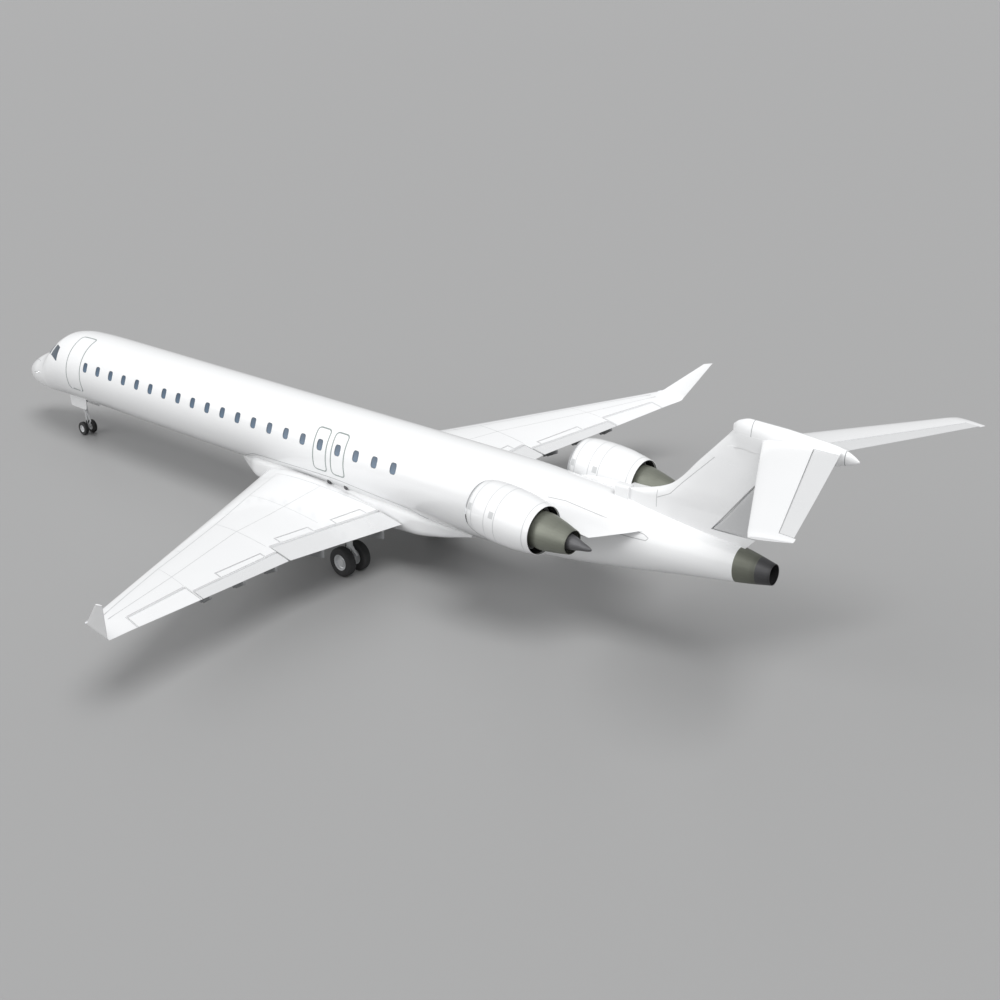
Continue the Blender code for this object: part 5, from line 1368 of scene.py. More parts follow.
    def edge_lines(self) -> list[Solid]:
        """Lay dark strips on the fixed skin in front of the hinged surfaces and round the spoilers: painted shade of
        the gaps.
        """
        ahead, beside, width = 0.022, 0.036, 0.022
        strips = []
        for surface in self.surfaces:
            start = surface.inner
            for spoiler in self.spoilers:
                if surface.inner < spoiler.inner < surface.outer:
                    strips.append((start, spoiler.inner - beside, surface))
                    start = spoiler.outer + beside
            strips.append((start, surface.outer, surface))
        found = []
        for start, end, surface in strips:
            points = tuple((float(surface.edge(side)) - ahead, side) for side in (start, end))
            found.append(self.line_on_top(points, 0.028))
        for spoiler in self.spoilers:
            front = ((spoiler.inner_front - ahead, spoiler.inner - beside),
                     (spoiler.outer_front - ahead, spoiler.outer + beside))
            found.append(self.line_on_top(front, width))
            for (station, side), back in zip(front, (spoiler.inner_back, spoiler.outer_back)):
                found.append(self.line_on_top(((station, side), (back - 0.01, side)), width))
        for line in (((21.66, 8.795), (22.32, 8.795)), ((22.23, 10.955), (22.70, 10.955))):
            found.append(self.line_on_top(line, width))
        return found

    def build(self) -> None:
        """Make the wing's pieces."""
        make, label = self.shop.make, self.side.label
        cuts = [self.prism(surface) for surface in self.surfaces]
        cuts += [self.spoiler_room(spoiler) for spoiler in self.spoilers]
        cuts.append(block((20.25, self.sign * 1.42, -1.80), (20.58, self.sign * 2.255, -1.25)))
        make(f"wing_skin_{label}", Solid.from_rings(self.rings()), Paints.WHITE, f"wing_{label}",
             crease=WING_CREASE,
             cuts=cuts)
        for surface in self.surfaces:
            name = f"{surface.name}_{label}"
            # The flaps' greyer white is painted shade; the aileron keeps the wing's white.
            make(f"{surface.name}_skin_{label}", self.surface_solid(surface),
                 Paints.FLAP if surface.tracks else Paints.WHITE, name, body=name, crease=WING_CREASE)
            if surface.tracks:
                moving, fixed = self.track_solids(surface)
                make(f"{surface.name}_tracks_{label}", moving, Paints.TRACK, body=name)
                make(f"{surface.name}_brackets_{label}", fixed, Paints.TRACK)
            else:
                pins = self.pins(*self.hinge_line(surface), 0.020)
                make(f"{surface.name}_pins_{label}", pins, Paints.GEAR, body=name)
        for spoiler in self.spoilers:
            name = f"{spoiler.name}_{label}"
            make(f"{spoiler.name}_skin_{label}", self.spoiler_solid(spoiler), Paints.WHITE, name, body=name,
                 crease=WING_CREASE)
            ends = [self.at(station, side, height) for side, station, height in self.spoiler_hinge(spoiler)]
            make(f"{spoiler.name}_pins_{label}", self.pins(*ends, self.spoiler_radius * 0.6, 0.006),
                 Paints.GEAR,
                 body=name)
        lines = [self.line_on_top(points, width) for _, width, points in self.lines]
        make(f"wing_lines_{label}", lines, Paints.SOFT_SEAM_AND_SHADE)
        # These strips are painted shade in front of the wing's gaps.
        make(f"edge_lines_{label}", self.edge_lines(), Paints.SOFT_SEAM_AND_SHADE)
        start, end = self.at(21.905, 11.78, -0.318), self.at(22.02, 11.90, -0.272)
        profile = rounded(((0.0, 0.0), (0.012, 0.022), (0.085, 0.026), (0.160, 0.020), (0.172, 0.0)), 16)
        make(f"tip_lamp_{label}", turned(profile, start, end - start, 24), Paints.LAMP)


@dataclass
class Tail:
    """The fin with its rudder, bullet fairing, tailplane, elevators and small air intake."""

    shop: Workshop
    fin_edge: tuple = (
        (0.60, 29.20), (1.45, 29.24), (1.465, 29.291), (1.73, 30.20), (1.95, 30.62), (2.75, 31.37),
        (3.60, 32.16),
    )
    fin_rear: tuple = (
        (0.60, 32.70, 0.26), (1.45, 33.47, 0.27), (1.73, 33.69, 0.28), (1.95, 33.86, 0.29),
        (2.75, 34.47, 0.26),
        (3.60, 35.13, 0.22),
    )
    rudder_foot: float = 1.05
    rudder_head: float = 3.30
    rudder_chord: float = 1.15
    bullet: tuple = (
        (32.28, 3.80, 0.03, 0.10), (32.42, 3.76, 0.12, 0.25), (32.74, 3.73, 0.17, 0.37),
        (33.6, 3.71, 0.19, 0.36),
        (34.5, 3.70, 0.17, 0.30), (35.0, 3.70, 0.13, 0.25), (35.28, 3.705, 0.09, 0.18),
        (35.5, 3.69, 0.05, 0.09),
        (35.61, 3.68, 0.012, 0.02),
    )
    tailplane: tuple = (
        (0.0, 33.08, 3.672, 35.150, 0.0, 3.838, 0.095), (0.18, 33.18, 3.665, 35.209, 0.18, 3.825, 0.095),
        (2.5, 34.41, 3.590, 35.920, 2.40, 3.686, 0.095), (4.70, 35.58, 3.518, 36.580, 4.56, 3.556, 0.090),
        (4.89, 35.70, 3.510, 36.594, 4.64, 3.550, 0.060),
    )
    elevator_inner: float = 0.26
    elevator_outer: float = 4.45
    elevator_share: float = 0.70
    fin_lines: tuple = (
        ((30.22, 1.47), (30.60, 1.66), (30.95, 2.05), (31.70, 2.80), (31.84, 2.94)),
        ((30.20, 1.20), (30.20, 1.66)),
    )

    def fin_row(self, height: Reals) -> tuple[np.ndarray, np.ndarray, np.ndarray]:
        """Read the fin's edges and thickness: a smooth front, straight lines behind."""
        rear = np.array(self.fin_rear)
        lead = CubicTable(self.fin_edge).read(height)[..., 0]
        return lead, np.interp(height, rear[:, 0], rear[:, 1]), np.interp(height, rear[:, 0], rear[:, 2])

    def fin_half(self, height: Reals, station: Reals) -> np.ndarray:
        """Find the fin's half thickness at a height and a station."""
        lead, trail, thickness = self.fin_row(height)
        share = np.clip((station - lead) / (trail - lead), 0.0, 1.0)
        return section_half(thickness / (trail - lead), trail - lead, share)

    def rudder_nose(self, height: float) -> tuple[float, float]:
        """Find the rudder's hinge station and the radius of its round nose."""
        station = float(self.fin_row(height)[1]) - self.rudder_chord
        return station, float(self.fin_half(height, station))

    def tail_row(self, side: float) -> list[float]:
        """Read the tailplane's edges at a side."""
        rows = np.array(self.tailplane)
        return [float(np.interp(side, rows[:, 0], rows[:, column])) for column in range(1, 7)]

    def elevator_nose(self, side: float) -> tuple[float, float, float]:
        """Find the elevator's hinge station, height and nose radius at a side."""
        lead_s, lead_z, trail_s, _, trail_z, ratio = self.tail_row(side)
        station = lead_s + (trail_s - lead_s) * self.elevator_share
        middle = lead_z + (trail_z - lead_z) * self.elevator_share
        return station, middle, float(section_half(ratio, trail_s - lead_s, self.elevator_share))

    def build_fin(self) -> None:
        """Make the fin and the rudder."""
        make, foot, head = self.shop.make, self.rudder_foot, self.rudder_head
        rings = []
        for height in np.union1d(np.linspace(0.60, 3.60, 60), [1.45, 1.465]):
            lead, trail, thickness = (float(value) for value in self.fin_row(height))
            rings.append(airfoil(place(lead, 0, height), place(trail, 0, height), thickness / (trail - lead),
                                 SIDEWAYS))
        walls = [self.rudder_nose(height)[0] - self.rudder_nose(height)[1] - CLEAR for height in (foot, head)]
        slope = (walls[1] - walls[0]) / (head - foot)
        room = []
        for height in (foot - RUDDER_GAP, head + RUDDER_GAP):
            wall = walls[0] + slope * (height - foot)
            room.append(place(np.array([wall, wall, 36.5, 36.5]), np.array([-0.5, 0.5, 0.5, -0.5]), height))
        make("fin_skin", Solid.from_rings(rings), Paints.WHITE, "fin", crease=WING_CREASE,
             cuts=[Solid.from_rings(room)])
        rings = []
        for height in np.linspace(foot, head, 16):
            station, radius = self.rudder_nose(height)
            aft = np.linspace(station, float(self.fin_row(height)[1]), 14)[1:]
            half = self.fin_half(height, aft)
            nose = round_nose(place(station, 0, height), radius, SIDEWAYS)
            rings.append(np.concatenate([nose, place(aft, -half, height), place(aft, half, height)[::-1]]))
        make("rudder_skin", Solid.from_rings(rings), Paints.RUDDER, "rudder", body="rudder",
             crease=WING_CREASE)
        ends = [place(self.rudder_nose(height)[0], 0.0, height) for height in (foot, head)]
        make("rudder_pins", hinge_pins(*ends, 0.020, 0.026), Paints.GEAR, body="rudder")
        lines = []
        for points in self.fin_lines:
            share, knots = np.linspace(0.0, 1.0, 24), np.linspace(0.0, 1.0, len(points))
            station, height = (np.interp(share, knots, column) for column in np.transpose(points))
            for sign in (1, -1):
                spots = place(station, sign * self.fin_half(height, station), height)
                lines.append(strip(spots, np.tile(sign * SIDEWAYS, (24, 1)), 0.022))
        make("fin_lines", lines, Paints.SOFT_SEAM_AND_SHADE)

    def flare(self, bullet: CubicTable) -> Solid:
        """Widen the fin's top smoothly into the bullet: an S-shaped share of the way between their half widths."""
        rings = []
        foot, head, proud = 2.95, 3.72, 0.003
        heights = np.concatenate([[foot, foot + 0.001], np.linspace(foot + 0.05, 3.33, 8),
                                  np.linspace(3.345, head, 9)])
        for height in heights:
            rise = (height - foot) / (head - foot)
            rise = rise * rise * (3 - 2 * rise)
            level = min(height, 3.60)
            lead = float(self.fin_row(level)[0]) + 0.93 * (height - level)
            nose, radius = self.rudder_nose(level)
            trail = nose - radius - CLEAR - 0.03 if height < 3.34 else 34.9
            station = lead + (trail - lead) * SHARES
            fin = self.fin_half(level, station)
            wide = np.maximum(bullet.read(np.clip(station, 32.28, 35.61))[:, 1], fin)
            half = fin + (wide - fin) * rise * np.minimum(1.0, SHARES * 12) * (1 - SHARES ** 6)
            half += (proud if height > foot else -proud) * np.minimum(1.0, SHARES * 40)
            near = place(station, -half, height)
            rings.append(np.concatenate([near, place(station, half, height)[-1:0:-1]]))
        return Solid.from_rings(rings)

    def build_tailplane(self) -> None:
        """Make the bullet fairing and the tailplane."""
        make = self.shop.make
        table = CubicTable(self.bullet)
        tip, end = self.bullet[0][0], self.bullet[-1][0]
        stations = tip + (end - tip) * (1 - np.cos(np.linspace(0.0, math.pi, 56))) / 2
        rows = table.read(stations)
        angle = np.linspace(0.0, math.tau, 56, endpoint=False)
        rings = place(stations[:, None], rows[:, 1:2] * np.cos(angle),
                      rows[:, 0:1] + rows[:, 2:3] * np.sin(angle))
        make("bullet_skin", Solid.from_rings(rings), Paints.WHITE, "bullet_fairing")
        make("bullet_flare", self.flare(table), Paints.WHITE)
        seams = []
        for station in (32.86, 35.28):
            centre, wide, tall = table.read(station)
            spots = place(station, wide * np.cos(angle), centre + tall * np.sin(angle))
            normals = unit(np.column_stack([np.cos(angle) / wide, np.zeros(56), np.sin(angle) / tall]))
            seams.append(strip(spots, normals, 0.020, loop=True))
        make("bullet_seams", seams, Paints.SEAM)
        rings, rooms = [], []
        outer = np.union1d(np.linspace(0.0, 4.70, 26), np.linspace(4.70, 4.89, 6))
        for sign, side in [(-1, side) for side in outer[:0:-1]] + [(1, side) for side in outer]:
            lead_s, lead_z, trail_s, trail_side, trail_z, ratio = self.tail_row(side)
            lead, trail = place(lead_s, sign * side, lead_z), place(trail_s, sign * trail_side, trail_z)
            rings.append(airfoil(lead, trail, ratio, UPRIGHT))
        for side in Side:
            room = []
            for span in (self.elevator_inner - END_GAP, self.elevator_outer + END_GAP):
                station, _, radius = self.elevator_nose(span)
                wall = station - radius - CLEAR
                room.append(place(np.array([wall, wall, 37.5, 37.5]), side.value * span,
                                  np.array([3.0, 4.4, 4.4, 3.0])))
            rooms.append(Solid.from_rings(room))
        make("tailplane_skin", Solid.from_rings(rings), Paints.WHITE, "tailplane", crease=WING_CREASE,
             cuts=rooms)

    def build_elevator(self, side: Side) -> None:
        """Make an elevator with its hinge pins."""
        name, sign = f"elevator_{side.label}", side.value
        rings = []
        for span in np.linspace(self.elevator_inner, self.elevator_outer, 16):
            station, middle, radius = self.elevator_nose(span)
            lead_s, lead_z, trail_s, _, trail_z, ratio = self.tail_row(span)
            nose = round_nose(place(station, sign * span, middle), radius, UPRIGHT)
            share = np.linspace(self.elevator_share, 1.0, 12)[1:]
            aft = lead_s + (trail_s - lead_s) * share
            centre = lead_z + (trail_z - lead_z) * share
            half = section_half(ratio, trail_s - lead_s, share)
            rings.append(np.concatenate([nose, place(aft, sign * span, centre - half),
                                         place(aft, sign * span, centre + half)[::-1]]))
        # The elevator's greyer white is painted shade.
        self.shop.make(f"elevator_skin_{side.label}", Solid.from_rings(rings), Paints.FLAP, name, body=name,
                       crease=WING_CREASE)
        noses = [(span, *self.elevator_nose(span)) for span in (self.elevator_inner, self.elevator_outer)]
        ends = [place(station, sign * span, middle) for span, station, middle, _ in noses]
        self.shop.make(f"elevator_pins_{side.label}", hinge_pins(*ends, 0.014, 0.012), Paints.GEAR, body=name)

    def box(self, first: float, last: float, half: float, low: float, high: float) -> Solid:
        """Make a box with rounded edges between two stations: a superellipse carried aft."""
        across, up = superellipse(48, 7.0)
        rings = [place(station, half * across,
                       (low + high) / 2 + (high - low) / 2 * up) for station in (first, last)]
        return Solid.from_rings(rings)

    def build(self) -> None:
        """Make the tail's pieces, with the small box intake on the body's spine."""
        self.build_fin()
        self.build_tailplane()
        for side in Side:
            self.build_elevator(side)
        self.shop.make("intake_box", self.box(28.86, 29.30, 0.13, 0.90, 1.50), Paints.WHITE, "tail_intake",
                       cuts=[self.box(28.70, 29.10, 0.105, 1.24, 1.475)])
        # The intake's black back plate is painted shade.
        self.shop.make("intake_throat", self.box(29.085, 29.11, 0.106, 1.235, 1.480), Paints.SOOT)


@dataclass
class Engine:
    """One engine with its nacelle, fan, core, plug and pylon."""

    shop: Workshop
    side: Side
    front: tuple = (25.97, 2.147, 0.773)
    rear: tuple = (28.16, 2.197, 0.640)
    nacelle: tuple = (
        (2.19, 0.668), (1.85, 0.728), (1.40, 0.785), (0.90, 0.800), (0.45, 0.782), (0.15, 0.733),
        (0.03, 0.690),
        (0.0, 0.658), (0.02, 0.625), (0.12, 0.590), (0.35, 0.580), (0.60, 0.598), (0.88, 0.600),
        (1.10, 0.630),
        (1.45, 0.630), (2.19, 0.655),
    )
    core: tuple = (
        (3.15, 0.326), (2.70, 0.430), (2.25, 0.500), (1.60, 0.490), (1.20, 0.400), (0.95, 0.250),
        (0.90, 0.220),
    )
    plug: tuple = ((2.90, 0.215), (2.98, 0.215), (3.15, 0.195), (3.45, 0.120), (3.76, 0.030), (3.78, 0.0))
    spinner: tuple = ((0.38, 0.0), (0.385, 0.025), (0.42, 0.060), (0.50, 0.120), (0.66, 0.195), (0.80, 0.210))
    blades: int = 24
    vanes: int = 30
    pylon: tuple = (
        (0.70, 26.45, 30.15, 0.69, 0.26), (1.02, 26.50, 29.97, 0.69, 0.26), (1.45, 26.55, 29.72, 0.70, 0.25),
        (2.00, 27.20, 29.36, 0.70, 0.20),
    )
    seams: tuple = (0.135, 0.30, 0.78, 1.12, 2.02)

    def __post_init__(self) -> None:
        """Find the engine's axis."""
        sign = self.side.value
        self.lip = place(self.front[0], sign * self.front[1], self.front[2])
        self.aft = unit(place(self.rear[0], sign * self.rear[1], self.rear[2]) - self.lip)
        self.curve = rounded(self.nacelle, 90)
        self.outer = self.curve[: int(np.argmin(self.curve[:, 0])) + 1][::-1]

    def skin_radius(self, along: Reals) -> np.ndarray:
        """Read the nacelle's outer radius at a distance aft of the lip."""
        return np.interp(along, self.outer[:, 0], self.outer[:, 1])

    def turn(self, profile: Rows, loop: bool = True, segments: int = 120) -> Solid:
        """Turn a profile of distance aft and radius about the engine's axis."""
        return turned(profile, self.lip, self.aft, segments, loop)

    def make(self, name: str, solid: Solid | list[Solid], finish: Finish, *nodes: str,
             body: str = "airframe") -> None:
        """Make a piece; its name, and the nodes that it stands for, end with the engine's side."""
        label = self.side.label
        self.shop.make(f"{name}_{label}", solid, finish, *(f"{node}_{label}" for node in nodes), body=body)

    def axes(self) -> tuple[np.ndarray, np.ndarray]:
        """Give the level and the upright direction square to the axis."""
        level = unit(np.cross(self.aft, UPRIGHT))
        return level, np.cross(level, self.aft)

    def at(self, along: Reals, radius: Reals, degrees: Reals) -> np.ndarray:
        """Find points by distance aft, radius, and angle up from the level direction."""
        level, upright = self.axes()
        angle = np.radians(np.asarray(degrees, dtype=float))[..., None]
        along, radius = (np.asarray(value, dtype=float)[..., None] for value in (along, radius))
        return self.lip + self.aft * along + radius * (np.cos(angle) * level + np.sin(angle) * upright)

    def plate(self, radii: Reals, near: float, chords: Reals, twists: Reals, thick: Reals,
              degrees: float) -> Solid:
        """Make a blade: thin cambered lens sections, set at an angle that grows outwards.

        Args:
            radii: the sections' radii.
            near: the distance aft of the sections' middle.
            chords: the sections' chords.
            twists: the sections' angles from the axis.
            thick: the sections' thicknesses.
            degrees: the blade's place round the axis.

        Returns:
            The blade.
        """
        level, upright = self.axes()
        angle = math.radians(degrees)
        outwards = math.cos(angle) * level + math.sin(angle) * upright
        across = np.cross(self.aft, outwards)
        share = (1 - np.cos(np.linspace(0.0, math.pi, 9))) / 2
        rings = []
        for radius, chord, twist, thickness in zip(radii, chords, twists, thick):
            lean = math.radians(twist)
            along = self.aft * math.cos(lean) + across * math.sin(lean)
            normal = across * math.cos(lean) - self.aft * math.sin(lean)
            bow = (0.10 * chord * 4 * share * (1 - share))[:, None] * normal
            lens = (thickness / 2 * np.sqrt(4 * share * (1 - share)))[:, None] * normal
            middle = self.lip + self.aft * near + outwards * radius + (share - 0.5)[:, None] * chord * along + bow
            rings.append(np.concatenate([middle + lens, (middle - lens)[-2:0:-1]]))
        return Solid.from_rings(rings)

    def build(self) -> None:
        """Make the engine's pieces."""
        make, turn = self.make, self.turn
        split = self.curve[:, 0] < 0.13
        first, last = int(np.argmax(split)), len(split) - int(np.argmax(split[::-1]))
        make("nacelle_skin", turn(np.concatenate([self.curve[:first + 1], self.curve[last - 1:]])),
             Paints.WHITE,
             "nacelle")
        make("nacelle_lip", turn(self.curve[first:last]), Paints.LIP)
        inner = self.curve[last:][self.curve[last:, 0] < 1.12]
        make("inlet_liner", turn(np.concatenate([inner - [0.0, 0.003], (inner + [0.0, 0.004])[::-1]])),
             Paints.LINER)
        # The fan duct's black lining and the black ring across it are painted shade.
        rear = np.array([(1.20, 0.627), (1.45, 0.627), (1.80, 0.639), (2.12, 0.6495)])
        make("duct_liner", turn(np.concatenate([rear, (rear + [0.0, 0.008])[::-1]])), Paints.SOOT)
        make("duct_shade", turn(((1.62, 0.45), (1.62, 0.636), (1.64, 0.636), (1.64, 0.45))), Paints.SOOT)
        rings = []
        for along in self.seams:
            rows = [(along + u, float(self.skin_radius(along + u)) + PROUD * v) for u, v in
                    ((-0.014, -1.0), (-0.012, 0.5), (0.0, 0.8), (0.012, 0.5), (0.014, -1.0))]
            rings.append(turn(rows, True, 144))
        make("nacelle_seams", rings, Paints.FAINT_SEAM)
        places = np.linspace(2.035, 2.188, 8)
        ring = np.column_stack([places, self.skin_radius(places)])
        ring = np.concatenate([ring + [0.0, 0.0012], (ring - [0.0, 0.004])[::-1]])
        make("nozzle_ring", turn(ring, True, 144), Paints.WHITE)
        patches = []
        for along, length, width in ((0.205, 0.13, 14.0), (1.00, 0.15, 13.0)):
            stations = np.linspace(along - length / 2, along + length / 2, 8)
            radius = self.skin_radius(stations)
            for degrees in (19.0, 161.0):
                rows = [np.concatenate([self.at(stations, radius + 0.003, angle),
                                        self.at(stations, radius - 0.01, angle)[::-1]])
                        for angle in np.linspace(degrees - width / 2, degrees + width / 2, 8)]
                patches.append(Solid.from_rings(rows))
        make("latch_patches", patches, Paints.FAINT_SEAM)
        self.build_core()
        self.build_fan()
        self.build_pylon()

    def build_core(self) -> None:
        """Make the core cowl, its nozzle, the plug and the guide vanes."""
        make, turn = self.make, self.turn
        cowl = rounded(self.core, 48)
        inside = ((0.90, 0.20), (2.95, 0.280), (3.15, 0.312))
        make("core_cowl", turn(np.concatenate([cowl, inside])), Paints.COWL, "engine_core")
        # The black throat inside the core nozzle is soot, and painted shade of its depth.
        throat = ((2.93, 0.0), (2.93, 0.300), (3.12, 0.3105), (3.12, 0.3060), (2.985, 0.289), (2.985, 0.0))
        make("core_throat", turn(throat, False), Paints.SOOT)
        make("core_front", turn(((0.91, 0.0), (0.91, 0.218), (0.97, 0.218), (0.97, 0.0)), False),
             Paints.LINER)
        make("plug_skin", turn(np.concatenate([[(2.90, 0.0)], rounded(self.plug, 40)]), False), Paints.NOZZLE,
             "exhaust_plug")
        bands = []
        for along in (2.30, 2.72):
            radius, next_radius = np.interp((along, along + 0.02), cowl[::-1, 0], cowl[::-1, 1])
            slope = (radius - next_radius) / 0.02
            rows = [(along + u, radius - slope * u + 0.0025 * v) for u, v in
                    ((-0.010, -1.0), (-0.008, 0.8), (0.008, 0.8), (0.010, -1.0))]
            bands.append(turn(rows))
        make("cowl_bands", bands, Paints.COWL)
        vanes = [self.plate((0.39, 0.50, 0.633), 1.30, (0.15, 0.15, 0.15), (12.0, 10.0, 8.0),
                            (0.010, 0.009, 0.008),
                            360.0 * index / self.vanes) for index in range(self.vanes)]
        make("guide_vanes", vanes, Paints.LINER)

    def build_fan(self) -> None:
        """Make the fan: a spinner and twisted blades that ride on the fan's body."""
        body = f"fan_{self.side.label}"
        radii = np.linspace(0.19, 0.573, 9)
        share = (radii - radii[0]) / (radii[-1] - radii[0])
        blades = [self.plate(radii, 0.77, 0.175 + 0.085 * share, 18.0 + 42.0 * share, 0.018 - 0.011 * share,
                             360.0 * index / self.blades) for index in range(self.blades)]
        self.make("fan_blades", blades, Paints.BLADE, "fan", body=body)
        hub = [*rounded(self.spinner, 40), (0.875, 0.210), (0.875, 0.06), (0.895, 0.06), (0.895, 0.0)]
        self.make("spinner", self.turn(hub, False), Paints.SPINNER, body=body)

    def build_pylon(self) -> None:
        """Make the pylon, cut back to the nacelle and the core."""
        label, sign = self.side.label, self.side.value
        rings = []
        spans = np.linspace(self.pylon[0][0], self.pylon[-1][0], 24)
        for span, (front, back, height, thickness) in zip(spans, CubicTable(self.pylon).read(spans)):
            lead, trail = place(front, sign * span, height), place(back, sign * span, height)
            rings.append(airfoil(lead, trail, thickness / (back - front), UPRIGHT))
        outer = self.outer[self.outer[:, 0] > 0.01]
        envelope = [(0.012, 0.0), *(outer - [0.0, 0.002]), (2.189, 0.0)]
        cowl = rounded(self.core, 48)[::-1]
        core = [(1.5, 0.0), *(cowl[cowl[:, 0] > 1.5] - [0.0, 0.004]), (3.60, 0.320), (3.60, 0.0)]
        self.shop.make(f"pylon_skin_{label}", Solid.from_rings(rings), Paints.WHITE, f"pylon_{label}",
                       crease=28.0,
                       cuts=[self.turn(envelope, False), self.turn(core, False)])


@dataclass
class WheelPair:
    """Twin wheels: tyres with grooves and dished rims on one axle."""

    shop: Workshop
    name: str
    centre: np.ndarray
    radius: float
    width: float
    offset: float
    rim: float
    axle: float

    def tyre(self, sign: int) -> Solid:
        """Turn a tyre: a rounded tread with four grooves, full sidewalls and a bead at the rim."""
        half = self.width / 2
        shoulder = self.radius * 0.965
        flank = ((-half * 0.86, self.rim + 0.012), (-half * 0.98, self.rim + 0.045),
                 (-half, self.radius * 0.80),
                 (-half * 0.92, shoulder - self.radius * 0.05), (-half * 0.72, self.radius - 0.010),
                 (-half * 0.60, self.radius - 0.004))
        tread = []
        for groove in (-0.42, -0.15, 0.15, 0.42):
            middle = groove * half
            tread += [(middle - 0.007, self.radius - 0.001), (middle - 0.005, self.radius - 0.011),
                      (middle + 0.005, self.radius - 0.011), (middle + 0.007, self.radius - 0.001)]
        smooth = rounded(flank, 22)
        profile = np.concatenate([smooth, np.array(tread), (smooth * [-1.0, 1.0])[::-1],
                                  [(half * 0.80, self.rim - 0.004), (-half * 0.80, self.rim - 0.004)]])
        start = self.centre + sign * self.offset * SIDEWAYS
        return turned(profile, start, SIDEWAYS, 96, loop=True)

    def rim_solids(self, sign: int) -> list[Solid]:
        """Turn a rim with its dish, hub cap and ring of bolts."""
        half = self.width / 2
        start, outwards = self.centre + sign * self.offset * SIDEWAYS, sign * SIDEWAYS
        rim, axle = self.rim, self.axle
        dish = ((half * 0.84, rim + 0.012), (half * 0.86, rim + 0.004), (half * 0.80, rim - 0.010),
                (half * 0.45, rim - 0.026), (half * 0.30, rim * 0.72), (half * 0.34, rim * 0.50),
                (half * 0.62, rim * 0.42), (half * 0.66, rim * 0.20), (half * 0.66, 0.0))
        back = ((-half * 0.70, 0.0), (-half * 0.70, axle * 1.7), (-half * 0.78, rim * 0.6),
                (-half * 0.80, rim - 0.008), (-half * 0.84, rim + 0.010))
        ordered = np.concatenate([np.array(back), rounded(dish, 40)])
        solids = [turned(ordered, start, outwards, 72)]
        for index in range(9):
            angle = math.tau * index / 9
            ring = np.array([0.0, math.cos(angle), math.sin(angle)]) * rim * 0.62
            foot = start + outwards * half * 0.26 + ring
            solids.append(rod(foot, foot + outwards * 0.035, rim * 0.055, 12))
        return solids

    def build(self) -> None:
        """Make the pair's pieces."""
        self.shop.make(f"{self.name}_tyres", [self.tyre(sign) for sign in (1, -1)], Paints.RUBBER, self.name,
                       body=self.name)
        rims = [solid for sign in (1, -1) for solid in self.rim_solids(sign)]
        rims.append(pin(self.centre, (self.offset, 0.0, 0.0), self.axle, 32))
        self.shop.make(f"{self.name}_rims", rims, Paints.RIM, body=self.name)


